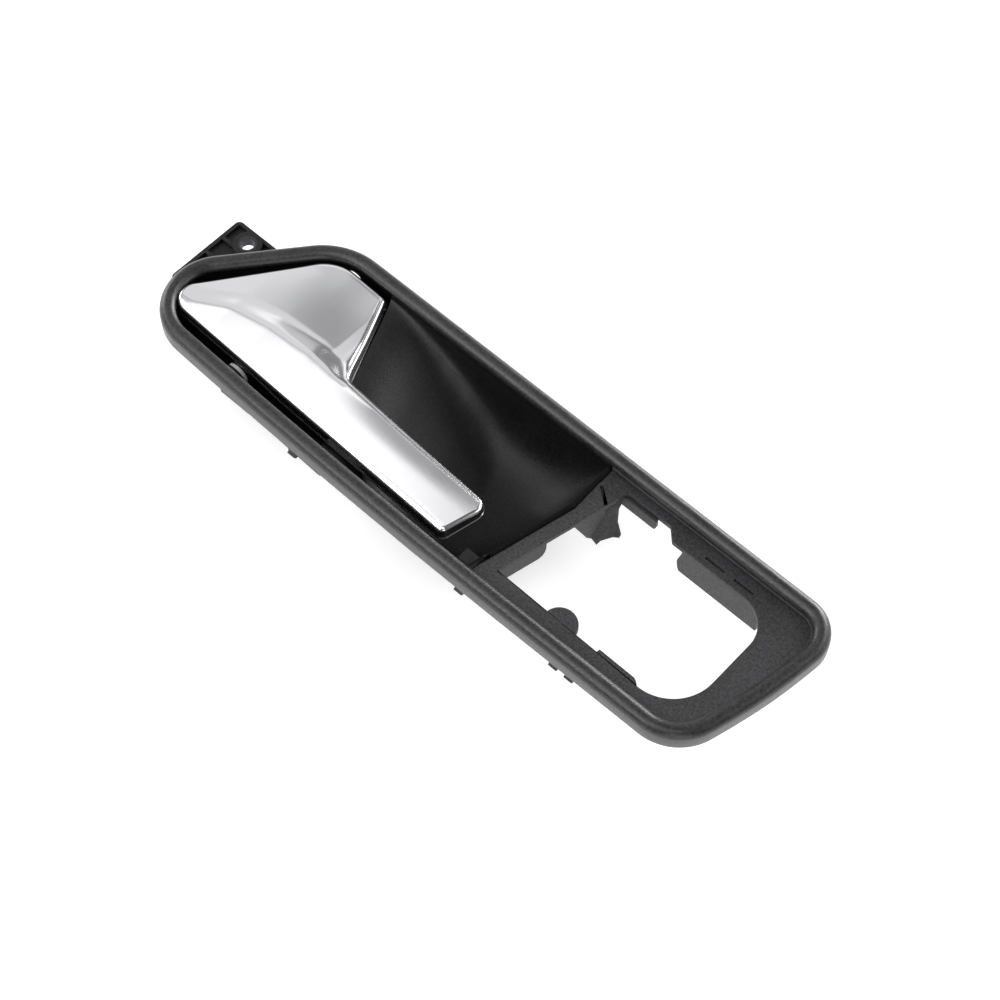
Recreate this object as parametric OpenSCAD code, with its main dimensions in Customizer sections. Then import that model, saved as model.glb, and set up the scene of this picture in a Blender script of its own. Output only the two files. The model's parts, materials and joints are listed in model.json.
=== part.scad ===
// Car interior door handle: a long bezel, a finger bowl behind a sprung chrome pull lever, and a switch cut-out.
// The part lies face up. X runs along the bezel, Y up the door, Z out of the door panel towards the hand.
// The origin is the middle of the bezel's rear edge, which seats on the door panel.

/* [Bezel outline] */
// Length of the upper side between its corner points
top_len = 226.7; // [210:0.1:250]
// How far the left end leans out towards its lower corner
left_lean = 57.1; // [45:0.1:62]
// How far the right end leans in towards its lower corner
right_lean = 14.4; // [8:0.1:20]
// Height of the bezel at its left end, corner point to corner point
left_end_h = 69.5; // [68:0.1:76]
// Height of the bezel at its right end, corner point to corner point
right_end_h = 71.2; // [69:0.1:78]
// How far the lower side bows out
lower_bow = 3.6; // [2:0.1:5]
// How far the right end bows out
right_bow = 2.8; // [1.5:0.1:4]
// Radius of the upper left corner
upper_left_r = 28.5; // [24:0.1:31]
// Radius of the lower left corner
lower_left_r = 21; // [17:0.1:24]
// Radius of the lower right corner
lower_right_r = 19.5; // [16:0.1:24]
// Radius of the upper right corner
upper_right_r = 14; // [11:0.1:18]

/* [Rim section] */
// Height of the rim above the door panel
rim_h = 8.5; // [8:0.1:10]
// Width of the rim
rim_w = 5.9; // [5.6:0.1:6.6]
// Radius of the rim's rounded outer edge
bead_r = 3.1; // [2.7:0.1:3.4]
// Wall of the rim
rim_wall = 1.9; // [1.5:0.1:2.1]
// Height at which the rim's inner lip ends
lip_z = 4.9; // [4.8:0.1:5.4]

/* [Switch frame] */
// Distance from the upper right corner point to the end of the finger bowl, halfway up
switch_len = 100.2; // [92:0.1:106]
// Lean of the crossbar, in millimetres sideways for each millimetre up
bar_slope = 0.24; // [0.15:0.01:0.3]
// Width of the crossbar between finger bowl and switch opening
bar_w = 6.6; // [6:0.1:9]
// Height of the ledge's face
ledge_z = 3.6; // [3.2:0.1:4]
// Thickness of the ledge
ledge_t = 2.2; // [1.8:0.1:2.4]
// Width of the ledge below the switch opening
lower_ledge_w = 5.6; // [5:0.1:7]
// Width of the ledge above the switch opening
upper_ledge_w = 7.4; // [7:0.1:9]
// Width of the ledge at the right end of the switch opening
right_ledge_w = 11.8; // [10:0.1:14]
// Radius of the switch opening's lower right corner
opening_low_r = 17; // [12:0.5:18]
// Radius of the switch opening's upper right corner
opening_top_r = 12; // [8:0.5:14]
// Radius of the round tab on the lower ledge
tab_r = 6.2; // [5:0.1:7]
// Depth of the long wall that hangs from the upper ledge
long_wall_depth = 12.5; // [9:0.1:14]
// Thickness of the walls and ribs behind the ledge
rib_t = 1.5; // [1.2:0.1:1.8]

/* [Lever] */
// Reach of the lever from its pivot to the tip
lever_reach = 104.3; // [98:0.1:106]
// Width of the lever's blade at its root
blade_root_w = 18.6; // [17:0.1:20]
// Width of the lever's blade at its tip
blade_tip_w = 17.5; // [16:0.1:19]
// Height of the blade's face above the panel
lever_z = 7.5; // [7.2:0.1:8]
// Height of the lever's rear edge above the panel
lever_rear_z = 1.8; // [1.6:0.1:2.2]
// How far the head is dished below the blade's face at its right end
dish_depth = 3.1; // [2:0.1:3.2]
// Radius of the lever's rounded edges
edge_r = 1.4; // [1:0.1:1.6]
// Thickness of the chrome-plated skin over the lever's core
skin_t = 2.6; // [2.2:0.1:3]
// Gap between the lever's head and the rim along the upper side
head_gap = 2; // [1.8:0.1:3]
// Gap between the lever's lower edge and the rim
blade_gap = 4.8; // [4.2:0.1:5.4]
// Swing of the lever from rest to fully open, in degrees
lever_swing = 24; // [18:0.5:24]

/* [Pivot] */
// Distance from the upper left corner point to the pivot, along X
pivot_in = 6; // [5:0.1:8]
// Depth of the pivot's axis behind the panel's face
pivot_depth = 4; // [3.8:0.1:4.4]
// Radius of the pivot pin
pin_r = 2; // [1.8:0.05:2.2]
// Running clearance of the bushes on the pin, on the radius
pin_clearance = 0.05; // [0.02:0.01:0.08]
// Wall of the pivot bushes
bush_wall = 0.9; // [0.8:0.1:1]
// Radius of the bush flanges
bush_flange_r = 4.5; // [4.2:0.1:4.8]
// Thickness of the bush flanges
bush_flange_t = 1.3; // [1:0.1:1.5]
// Radius of the lever's hub
hub_r = 4.2; // [4:0.1:4.4]
// Thickness of the ears that hold the pin
ear_t = 2.8; // [2.4:0.1:3]
// Radius of the ears round the pin
ear_r = 5; // [4.6:0.1:5.2]
// Length of the cable arm from the pivot to its eye
arm_len = 20; // [18:0.5:22]
// Radius of the eye for the cable's end
eye_r = 2.6; // [2:0.1:3]
// Thickness of the cable arm
arm_t = 4.5; // [4:0.1:6]

/* [Return spring] */
// Diameter of the spring wire
wire_d = 1.2; // [1:0.1:1.3]
// Mean radius of the coil
coil_r = 4.6; // [4.5:0.1:4.8]
// Turns of the coil
coil_turns = 5; // [3:1:5]
// Radius of the hub inside the coil
coil_hub_r = 3.6; // [3.4:0.1:3.8]

/* [Carrier] */
// Wall of the carrier
carrier_wall = 2; // [1.8:0.1:2.2]
// Gap between the carrier and the inside of the rim
carrier_gap = 0.3; // [0.2:0.05:0.4]
// Depth of the pocket's floor behind the panel's face
pocket_depth = 17; // [16.8:0.1:20]
// Depth of the finger bowl below the rim's lip
bowl_depth = 29; // [24:0.5:32]
// Height of the lip between the lever's head and the bowl
bowl_lip_z = 1.2; // [0.8:0.1:1.4]
// Length of the fixing bracket beyond the bezel's left corner line
bracket_len = 24; // [18:0.5:28]
// Height of the fixing bracket
bracket_h = 35; // [32:0.5:38]
// Height of the bracket's ribs
bracket_rib_h = 2.6; // [2:0.1:4]
// Radius of the hole through the bracket's steel sleeve
fixing_hole_r = 2.75; // [2.2:0.05:3.2]
// Wall of the bracket's steel sleeve
sleeve_wall = 0.8; // [0.6:0.1:1]
// Width of the slot for the cable's sheath
sheath_slot_w = 6.2; // [5:0.1:8]
// Radius of the rubber buffer that the lever rests on
buffer_r = 3; // [2.4:0.1:3.2]
// Thread radius of the small screws
screw_r = 1.25; // [1.1:0.05:1.4]
// Radius of the small screws' heads
screw_head_r = 2.4; // [2.1:0.1:2.6]

/* [Hidden] */
$fn = 48;
eps = 0.01;
over = 1;

// Corner points of the bezel's outline
top_y = (left_end_h + right_end_h) / 4;
left_top_x = -top_len / 2 + (left_lean + right_lean) / 4;
right_top_x = left_top_x + top_len;
left_low = [left_top_x - left_lean, top_y - left_end_h];
right_low = [right_top_x - right_lean, top_y - right_end_h];
bow_share = 0.446;
bow_r = 2700;
end_bow_r = 200;
low_mid = left_low + (right_low - left_low) * bow_share - [0, lower_bow];
right_mid = [right_top_x - right_lean / 2 + right_bow, top_y - right_end_h / 2];

// Each corner of an outline is [x, y, radius], and outlines run anticlockwise
bezel_path = [
    [left_low.x, left_low.y, lower_left_r],
    [low_mid.x, low_mid.y, bow_r],
    [right_low.x, right_low.y, lower_right_r],
    [right_mid.x, right_mid.y, end_bow_r],
    [right_top_x, top_y, upper_right_r],
    [left_top_x, top_y, upper_left_r]
];

arc_step = 6;
rim_arc_step = 7.5;
min_arc_steps = 3;

function flat(p) = [p.x, p.y];
function unit(v) = v / norm(v);
function left_of(v) = [-v.y, v.x];
function cross2(a, b) = a.x * b.y - a.y * b.x;
function clamp01(t) = min(1, max(0, t));
function smooth(t) = let (c = clamp01(t)) c * c * (3 - 2 * c);
function mix(a, b, t) = a + (b - a) * t;
function wrap(path, i) = path[(i + len(path)) % len(path)];
function meet(p, a, q, b) = p + a * (cross2(q - p, b) / cross2(a, b));

// Moves every side of an outline inwards by d and keeps its round corners concentric
function inset(path, d) = [
    for (i = [0 : len(path) - 1])
        let (
            before = flat(wrap(path, i - 1)),
            here = flat(path[i]),
            after = flat(wrap(path, i + 1)),
            a = unit(here - before),
            b = unit(after - here),
            p = meet(here + left_of(a) * d, a, here + left_of(b) * d, b),
            turn = cross2(a, b) > 0 ? -1 : 1
        )
        [p.x, p.y, max(0.1, path[i][2] + turn * d)]
];

// Centre, first angle, turn and end points of the arc at corner i
function corner(path, i) =
    let (
        before = flat(wrap(path, i - 1)),
        here = flat(path[i]),
        after = flat(wrap(path, i + 1)),
        r = path[i][2],
        a = unit(here - before),
        b = unit(after - here),
        turn = atan2(cross2(a, b), a * b),
        reach = r * tan(abs(turn) / 2),
        side = turn > 0 ? 1 : -1,
        first = here - a * reach,
        last = here + b * reach,
        centre = first + left_of(a) * r * side
    )
    [centre, atan2(first.y - centre.y, first.x - centre.x), turn, first, last, r];

function arc_points(c) =
    let (steps = max(min_arc_steps, ceil(abs(c[2]) / arc_step)))
    [for (k = [0 : steps]) let (t = c[1] + c[2] * k / steps) c[0] + c[5] * [cos(t), sin(t)]];

function round_points(path) = [for (i = [0 : len(path) - 1]) each arc_points(corner(path, i))];

module outline(path) {
    polygon(round_points(path));
}

// Lower and upper side of the bezel at a given x, and its left end at a given y
function bezel_low_y(x) =
    x < low_mid.x
        ? mix(left_low.y, low_mid.y, (x - left_low.x) / (low_mid.x - left_low.x))
        : mix(low_mid.y, right_low.y, (x - low_mid.x) / (right_low.x - low_mid.x));
function bezel_left_x(y) = left_top_x - (top_y - y) * left_lean / left_end_h;

inner_top_y = top_y - rim_w;

// Finger bowl and crossbar
bar_foot_x = right_top_x - switch_len;
bar_bend_y = 9.5;
bar_bend_r = 30;
bar_lip_t = 1.2;
bar_top_lean = -0.03;
function bar_x(y) =
    bar_foot_x + (y < bar_bend_y ? y * bar_slope : bar_bend_y * bar_slope + (y - bar_bend_y) * bar_top_lean);

// Pivot and lever
pivot_x = left_top_x + pivot_in;
pivot_z = -pivot_depth;
lever_tip_x = pivot_x + lever_reach;
head_in_top = 8;
head_in_low = 14.4;
head_right_in = 26.1;
head_slope = 0.404;
tip_lean = 5.3;
lever_top_y = inner_top_y - head_gap;
lever_low_x = bezel_left_x(-24) + head_in_low;
lever_low_y = bezel_low_y(lever_low_x) + rim_w + blade_gap + 0.4;
tip_low_x = lever_tip_x - tip_lean;
tip_low_y = bezel_low_y(tip_low_x) + rim_w + blade_gap - 0.4;
tip_top_y = tip_low_y + blade_tip_w;
head_right_x = left_top_x + head_right_in;
root_x = head_right_x + (lever_top_y - tip_top_y - blade_root_w + blade_tip_w) * head_slope;
root_y = bezel_low_y(root_x) + rim_w + blade_gap + blade_root_w + 1.8;
lever_path = [
    [lever_low_x, lever_low_y, 7],
    [tip_low_x, tip_low_y, 3],
    [lever_tip_x, tip_top_y, 4.5],
    [root_x, root_y, 5],
    [head_right_x, lever_top_y, 2.5],
    [bezel_left_x(lever_top_y) + head_in_top, lever_top_y, 16]
];
lip_gap = 1.3;
function lip_x(y) = head_right_x + lip_gap + (lever_top_y - y) * head_slope;

function bowl_top_y() = inner_top_y - 0.2;
function bowl_low_y(x) = bezel_low_y(x) + rim_w + 0.9;

// Bezel

// Section of the rim as [distance in from the outer edge, height], once round
bead_z = rim_h - bead_r;
bead_end = acos((rim_w - bead_r) / bead_r);
hollow_r = bead_r - rim_wall;
lip_out = rim_w - rim_wall;
hollow_end = acos((lip_out - bead_r) / hollow_r);
bead_steps = 12;
hollow_steps = 4;
function arc_at(r, a) = [bead_r + r * cos(a), bead_z + r * sin(a)];
rim_section = concat(
    [[0, 0]],
    [for (k = [0 : bead_steps]) arc_at(bead_r, mix(180, bead_end, k / bead_steps))],
    [[rim_w, lip_z], [lip_out, lip_z]],
    [for (k = [0 : hollow_steps]) arc_at(hollow_r, mix(hollow_end, 180, k / hollow_steps))],
    [[rim_wall, 0]]
);

// Places round the outline as [centre x, centre y, angle, radius], at every point of its arcs
function places(path) = [
    for (i = [0 : len(path) - 1])
        let (c = corner(path, i), steps = max(min_arc_steps, ceil(abs(c[2]) / rim_arc_step)))
        for (k = [0 : steps]) [c[0].x, c[0].y, c[1] + c[2] * k / steps, c[5]]
];

// Runs the section round the outline
module rim() {
    at = places(bezel_path);
    n = len(rim_section);
    m = len(at);
    polyhedron(
        points = [for (a = at, q = rim_section)
            [a[0] + (a[3] - q.x) * cos(a[2]), a[1] + (a[3] - q.x) * sin(a[2]), q.y]],
        faces = [for (i = [0 : m - 1], j = [0 : n - 1])
            let (a = i * n + j, b = i * n + (j + 1) % n, c = ((i + 1) % m) * n + j, d = ((i + 1) % m) * n + (j + 1) % n)
            each [[a, b, d], [a, d, c]]]
    );
}

far = 400;
ring_out = rim_wall + 2.3;
ring_in = rim_w + 0.6;
ring_top = lip_z + 0.5;
ledge_rear = ledge_z - ledge_t;
right_inner_x = right_top_x + right_bow - right_lean / 2 - rim_w;

// Everything to the right of the crossbar's left edge
module right_of_bar(gap) {
    polygon([
        [bar_x(-top_y - over) + gap - over * bar_slope, -top_y - 8],
        [far, -top_y - 8],
        [far, top_y + 8],
        [bar_x(top_y) + gap, top_y + 8],
        [bar_x(bar_bend_y) + gap, bar_bend_y]
    ]);
}

function opening_path() =
    let (
        low = bezel_low_y(right_top_x / 2) + rim_w + lower_ledge_w,
        high = inner_top_y - upper_ledge_w,
        right = right_inner_x - right_ledge_w,
        low_left = bar_foot_x + low * bar_slope + bar_w,
        step_x = bar_foot_x + 35.5,
        step_h = 4
    )
    [
        [low_left, low, 0.5],
        [right, low, opening_low_r],
        [right, high, opening_top_r],
        [step_x, high, 0.8],
        [step_x - step_h, high + step_h, 0.8],
        [bar_foot_x + (high + step_h) * bar_slope + bar_w, high + step_h, 2]
    ];

opening = opening_path();
opening_low = opening[0].y;
opening_high = opening[2].y;
tab_x = bar_foot_x + 28.7;
strip_x = bar_foot_x + 43.8;
strip_len = 15;
strip_w = 1.7;

module ledge_shape() {
    difference() {
        intersection() {
            outline(inset(bezel_path, ring_out));
            right_of_bar(bar_lip_t + carrier_gap);
        }
        difference() {
            outline(opening);
            translate([tab_x, opening_low - 0.4]) circle(r = tab_r);
            polygon([
                [strip_x, opening_low - over],
                [strip_x + strip_len + 5, opening_low - over],
                [strip_x + strip_len, opening_low + strip_w],
                [strip_x, opening_low + strip_w]
            ]);
        }
    }
}

// Upright band behind the rim's inner edge, round the switch frame
module switch_band() {
    intersection() {
        difference() {
            outline(inset(bezel_path, ring_out));
            outline(inset(bezel_path, ring_in));
        }
        right_of_bar(bar_lip_t + carrier_gap);
    }
}

hook_w = 7;
hook_z = -4.8;
hook_t = 1.3;
hook_x = [head_right_x + 17, bar_foot_x - 7, bar_foot_x + 35, bar_foot_x + 44.5];
function hook_y(x) = bezel_low_y(x) + (x < bar_foot_x + 29 ? 1.4 : 0.6);

// Hooks that hang from the lower rim and snap behind the panel
module panel_hooks() {
    for (x = hook_x) {
        y = hook_y(x);
        translate([x - hook_w / 2, y, hook_z]) cube([hook_w, hook_t, -hook_z + over]);
        translate([x - hook_w / 2, y, hook_z])
            rotate([90, 0, 90])
                linear_extrude(hook_w) polygon([[0.1, 0], [-0.7, 1.2], [0.1, 2]]);
    }
}

catch_len = 8;
catch_z = 1;
catch_h = 1.4;
catch_x = [head_right_x + 7.5, bar_foot_x - 31];
catch_at = [for (x = catch_x, side = [1, -1]) [x, side]];

// Catches inside the rim that hold the carrier's walls
module carrier_catches(grow) {
    for (c = catch_at)
        translate([
            c.x - catch_len / 2 - grow,
            c.y > 0 ? top_y - rim_wall - carrier_gap - 1 - grow
                    : bezel_low_y(c.x) + rim_wall - 0.5 - grow,
            catch_z - grow
        ])
            cube([catch_len + 2 * grow, 2.2 + 2 * grow, catch_h + 2 * grow]);
}

screw_boss_r = 2.3;
bar_screws = [[bar_foot_x - 1, opening_low - 4.2], [bar_foot_x + 17, opening[5].y + 3.4]];
bar_boss_z = -1.5;

// Walls, ribs and lugs behind the ledge
module ledge_walls() {
    wall_top = ledge_rear + 0.5;
    // Wall below the crossbar's lower end
    translate([bar_foot_x + opening_low * bar_slope + bar_w - rib_t, opening_low, 0])
        rotate(-atan(bar_slope))
            translate([0, -0.5, -6])
                rotate([90, 0, 90])
                    linear_extrude(rib_t)
                        polygon([[0, 0], [18, 0], [20.5, 2.5], [21, 6], [21, 6 + wall_top], [0, 6 + wall_top]]);
    // Short wall at the upper left of the opening
    translate([bar_foot_x + 11, opening[5].y, ledge_rear - 5])
        rotate([90, 0, 0])
            linear_extrude(rib_t) polygon([[0, 0], [14.2, 0], [15.4, 1.5], [15.4, 5.5], [0, 5.5]]);
    // Long wall below the upper ledge, with a latch window
    difference() {
        translate([opening[3].x + 3.5, opening_high + rib_t, wall_top - long_wall_depth])
            rotate([90, 0, 0])
                linear_extrude(rib_t)
                    polygon([[0, 0], [33.5, 0], [33.5, long_wall_depth], [1, long_wall_depth], [-1, 6]]);
        translate([opening[3].x + 22, opening_high - over, wall_top - 5.5])
            cube([9, rib_t + 2 * over, 3]);
    }
    // Lug below the upper end of the crossbar
    lug_x = bar_foot_x + bar_w + 1.5;
    translate([lug_x, opening_high - 3.5, 0]) {
        translate([0, rib_t, 0])
            rotate([90, 0, 0])
                linear_extrude(rib_t)
                    polygon([[0, wall_top], [9.5, wall_top - 3], [8.5, -10], [10, -16], [7.5, -16.5],
                             [5, -14], [0.5, -9]]);
        translate([-1, -9, 0])
            cube([rib_t, 15, wall_top]);
        translate([-1, -9, -9])
            rotate([90, 0, 90])
                linear_extrude(rib_t) polygon([[0, 5], [9, 0], [15, 0], [15, 10], [0, 10]]);
        translate([-0.5, -8, -13])
            rotate([90, 0, 45])
                linear_extrude(rib_t) polygon([[0, 9], [3, -1], [6, -1], [8, 2], [12, 14], [0, 14]]);
    }
}

slot_in = 2.4;
slot_len = 8;
slot_w = 0.9;
slot_depth = 1;
groove_y = 22.2;
groove_turn = 37;
groove_len = 13;
groove_w = 1.1;
groove_depth = 1.2;
window_in = [6.4, 3.6];
window_size = [4.8, 3.2];

module bezel_frame() {
    color([0.17, 0.17, 0.18])
    difference() {
        union() {
            rim();
            translate([0, 0, ledge_rear]) linear_extrude(ledge_t) ledge_shape();
            translate([0, 0, ledge_rear]) linear_extrude(ring_top - ledge_rear) switch_band();
            panel_hooks();
            carrier_catches(0);
            ledge_walls();
            for (s = bar_screws)
                translate([s.x, s.y, bar_boss_z]) cylinder(r = screw_boss_r, h = ledge_rear - bar_boss_z + 0.5);
        }
        for (s = bar_screws)
            translate([s.x, s.y, bar_boss_z - over])
                cylinder(r = screw_r, h = ledge_rear - bar_boss_z + over + 1);
        // Latch slots in the upper ledge
        for (x = [opening[3].x + 12, opening[3].x + 24])
            translate([x, opening_high + slot_in, ledge_z - slot_depth]) cube([slot_len, slot_w, slot_depth + over]);
        // Groove and window between the crossbar's upper end and the upper ledge
        translate([bar_x(groove_y) + bar_lip_t, groove_y, ledge_z - groove_depth])
            rotate(-groove_turn) cube([groove_len, groove_w, groove_depth + over]);
        translate([bar_foot_x + window_in.x, opening[5].y - window_in.y, ledge_rear - over])
            cube([window_size.x, window_size.y, ledge_t + 2 * over]);
    }
}

// Lever

edge_rings = 4;
lever_rows = 15;
side_steps = 8;
top_steps = 5;
right_steps = 8;
blade_steps = 18;
corner_steps = 5;
crease_at = [[-130, -22], [-117, -20.5], [-105, -12.8], [-89.3, -9], [-71.2, -7.5], [-53, -8.9], [-28, -7.7]];
pocket_in = 1.8;

function ring_d(i) = edge_r * (1 - cos(90 * i / edge_rings));
function ring_drop(i) = edge_r * (1 - sin(90 * i / edge_rings));

// Points [x, y, normal x, normal y] along the arc of corner c, from share t0 to share t1 of its turn
function arc_run(c, t0, t1, n) = [
    for (k = [0 : n])
        let (a = c[1] + c[2] * mix(t0, t1, k / n), out = c[2] > 0 ? 1 : -1, v = [cos(a), sin(a)])
        [c[0].x + c[5] * v.x, c[0].y + c[5] * v.y, out * v.x, out * v.y]
];

// Points between the ends of two arcs, without the ends themselves
function side_run(p, q, n) = [
    for (k = [1 : n - 1]) [for (i = [0 : 3]) mix(p[i], q[i], k / n)]
];

lever_corners = [for (i = [0 : 5]) corner(lever_path, i)];
upper_arcs = [
    arc_run(lever_corners[0], 0.48, 0, 3),
    arc_run(lever_corners[5], 1, 0, corner_steps + 1),
    arc_run(lever_corners[4], 1, 0, corner_steps),
    arc_run(lever_corners[3], 1, 0, corner_steps),
    arc_run(lever_corners[2], 1, 0, corner_steps + 1)
];
function end_of(run) = run[len(run) - 1];
upper_chain = concat(
    upper_arcs[0], side_run(end_of(upper_arcs[0]), upper_arcs[1][0], side_steps),
    upper_arcs[1], side_run(end_of(upper_arcs[1]), upper_arcs[2][0], top_steps),
    upper_arcs[2], side_run(end_of(upper_arcs[2]), upper_arcs[3][0], right_steps),
    upper_arcs[3], side_run(end_of(upper_arcs[3]), upper_arcs[4][0], blade_steps),
    upper_arcs[4]
);
lower_first = arc_run(lever_corners[0], 0.52, 1, 3);
lower_last = arc_run(lever_corners[1], 0, 1, corner_steps + 1);
stations = len(upper_chain);
middle = stations - 4 - len(lower_last);
upper_from = upper_chain[3].x;
upper_to = upper_chain[stations - len(lower_last)].x;
lower_chain = concat(
    lower_first,
    [for (k = [1 : middle])
        let (t = (upper_chain[3 + k].x - upper_from) / (upper_to - upper_from))
        [for (i = [0 : 3]) mix(end_of(lower_first)[i], lower_last[0][i], t * 0.985 + 0.004)]],
    lower_last
);

function table_y(t, x, i = 0) =
    i >= len(t) - 2 || x < t[i + 1].x
        ? mix(t[i].y, t[i + 1].y, clamp01((x - t[i].x) / (t[i + 1].x - t[i].x)))
        : table_y(t, x, i + 1);

// Height of the lever's face: a flat blade, a dished head above the crease, a turned-up right edge
function dish_at(x) = dish_depth * (0.12 + 0.88 * smooth((x + 128) / 56));
function blade_top(x) = mix(root_y, tip_top_y, clamp01((x - root_x) / (lever_tip_x - root_x)));
function face_z(x, y) =
    let (
        crease = table_y(crease_at, x),
        head = 1 - smooth((x - root_x + 9) / 12),
        roll_w = mix(3.5, 6.5, head),
        roll = smooth((y - crease + 1.5) / roll_w),
        hollow = 0.5 * sin(180 * clamp01((y - crease) / 36)) * smooth((x + 112) / 30),
        edge_x = head_right_x + (lever_top_y - y) * head_slope,
        turn_up = pow(smooth(1 - (edge_x - x) / 4), 1.4) * smooth((y - root_y) / 8) * 1.3,
        bevel = 0.9 * smooth((y - blade_top(x) + 2.6) / 2.2)
    )
    lever_z - head * (dish_at(x) * roll + hollow - turn_up) - (1 - head) * bevel;

rows_low = 5;
rows_roll = 5;

// Rows stand close together where the face rolls over the crease
function row_share(j, p, q) =
    let (
        h = max(0.5, q.y - p.y),
        c = table_y(crease_at, mix(p.x, q.x, 0.5)),
        roll_from = min(0.95, max(0.3, (min(c - 1.5, q.y - 1.5) - p.y) / h)),
        roll_to = min(roll_from + 5.5 / h, mix(roll_from, 1, 0.6))
    )
    j < rows_low ? roll_from * j / rows_low
    : j < rows_low + rows_roll ? mix(roll_from, roll_to, (j - rows_low) / rows_roll)
    : mix(roll_to, 1, (j - rows_low - rows_roll) / (lever_rows - rows_low - rows_roll));
function station_row(k, j) =
    let (
        a = lower_chain[k],
        b = upper_chain[k],
        p = [a.x - edge_r * a[2], a.y - edge_r * a[3]],
        q = [b.x - edge_r * b[2], b.y - edge_r * b[3]],
        t = row_share(j, p, q),
        x = mix(p.x, q.x, t),
        y = mix(p.y, q.y, t)
    )
    [x, y, face_z(x, y)];
function edge_point(a, i) =
    let (d = ring_d(i), f = [a.x - edge_r * a[2], a.y - edge_r * a[3]])
    [a.x - d * a[2], a.y - d * a[3], face_z(f.x, f.y) - ring_drop(i)];
function station_points(k) = concat(
    [[lower_chain[k].x, lower_chain[k].y, lever_rear_z]],
    [for (i = [0 : edge_rings - 1]) edge_point(lower_chain[k], i)],
    [for (j = [0 : lever_rows]) station_row(k, j)],
    [for (i = [edge_rings - 1 : -1 : 0]) edge_point(upper_chain[k], i)],
    [[upper_chain[k].x, upper_chain[k].y, lever_rear_z]]
);

module lever_solid() {
    w = 2 * edge_rings + lever_rows + 3;
    points = [for (k = [0 : stations - 1]) each station_points(k)];
    last = (stations - 1) * w;
    polyhedron(
        points = points,
        faces = concat(
            [for (k = [0 : stations - 2], j = [0 : w - 2])
                let (a = k * w + j) each [[a, a + 1, a + w], [a + 1, a + w + 1, a + w]]],
            [for (j = [0 : edge_rings - 1])
                let (b = w - 1 - j) each [[j, b, j + 1], [j + 1, b, b - 1]]],
            [[for (j = [w - 1 - edge_rings : -1 : edge_rings]) j]],
            [for (j = [0 : edge_rings - 1])
                let (a = last + j, b = last + w - 1 - j) each [[a, a + 1, b], [a + 1, b - 1, b]]],
            [[for (j = [edge_rings : w - 1 - edge_rings]) last + j]],
            [concat([for (k = [0 : stations - 1]) k * w], [for (k = [stations - 1 : -1 : 0]) k * w + w - 1])]
        )
    );
}

core_top = lever_z - skin_t - 0.3;
core_rear = 0.4;
plate_rear = -0.6;
fit_gap = 0.25;
hub_screw_in = [14.5, 6.5];
mid_screw_in = [59.8, 4];
tip_screw_in = [18.3, 7];
lever_screws_at = [
    [pivot_x + hub_screw_in.x, lever_low_y + hub_screw_in.y],
    [lever_tip_x - mid_screw_in.x, lever_low_y + mid_screw_in.y],
    [lever_tip_x - tip_screw_in.x, tip_low_y + tip_screw_in.y]
];
boss_r = 2.5;
boss_z = 3.2;
screw_head_h = 1.5;
lever_screw_len = 4.2;
carrier_screw_len = 5;

// Pocket behind the blade that takes the core
blade_pocket = [
    [lever_low_x + 18, lever_low_y + pocket_in, 2],
    [tip_low_x - pocket_in - 0.8, tip_low_y + pocket_in, 2],
    [lever_tip_x - pocket_in - 0.9, tip_top_y - 2.2, 3],
    [root_x - 1, root_y - 3.6, 20],
    [pivot_x - 4, root_y - 7.5, 20],
    [lever_low_x + 22, lever_low_y + 8, 3]
];

module pull_lever() {
    color([0.86, 0.86, 0.88])
    difference() {
        lever_solid();
        translate([0, 0, lever_rear_z - over])
            linear_extrude(lever_z - skin_t - lever_rear_z + over)
                difference() {
                    outline(blade_pocket);
                    for (s = lever_screws_at) translate(s) circle(r = boss_r);
                }
        for (s = lever_screws_at) {
            translate([s.x, s.y, lever_rear_z - over])
                cylinder(r = boss_r + eps, h = boss_z - lever_rear_z + over);
            translate([s.x, s.y, boss_z - over]) cylinder(r = screw_r, h = 4);
        }
    }
}

// Core

hub_low_in = 10.5;
hub_high_in = 5.2;
hub_low = bezel_low_y(pivot_x) + hub_low_in;
hub_high = inner_top_y - hub_high_in;
spring_low = 7.6;
spring_high = 16.4;
window_w = 13;
arm_y = -4;
eye_wall = 2;
eye_z = pivot_z - arm_len;

module along_y(y0, y1) {
    translate([pivot_x, y0, pivot_z]) rotate([-90, 0, 0]) linear_extrude(y1 - y0) children();
}

module lever_core() {
    color([0.1, 0.1, 0.11])
    difference() {
        union() {
            translate([0, 0, core_rear]) linear_extrude(core_top - core_rear) outline(inset(blade_pocket, fit_gap));
            translate([0, 0, plate_rear]) linear_extrude(lever_rear_z - plate_rear) head_plate();
            along_y(hub_low, hub_high) circle(r = hub_r);
            along_y(arm_y - arm_t / 2, arm_y + arm_t / 2) cable_arm();
        }
        // Room for the coil
        translate([pivot_x - window_w / 2, spring_low, plate_rear - over])
            cube([window_w, spring_high - spring_low, 2 * over + lever_rear_z - plate_rear]);
        along_y(spring_low, spring_high)
            difference() {
                circle(r = coil_r + wire_d);
                circle(r = coil_hub_r);
            }
        // Bores for the bushes and the cable's end
        along_y(hub_low - over, hub_high + over) circle(r = pin_r + pin_clearance + bush_wall);
        translate([0, 0, eye_z - pivot_z]) along_y(arm_y - arm_t, arm_y + arm_t) circle(r = eye_r);
        for (s = lever_screws_at) translate([s.x, s.y, 0]) {
            translate([0, 0, plate_rear - over]) cylinder(r = screw_head_r + 0.2, h = core_rear + screw_head_h - plate_rear + over + 0.1);
            translate([0, 0, core_rear]) cylinder(r = screw_r + 0.15, h = core_top);
            translate([0, 0, boss_z - 0.1]) cylinder(r = boss_r + fit_gap, h = core_top);
        }
    }
}

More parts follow.
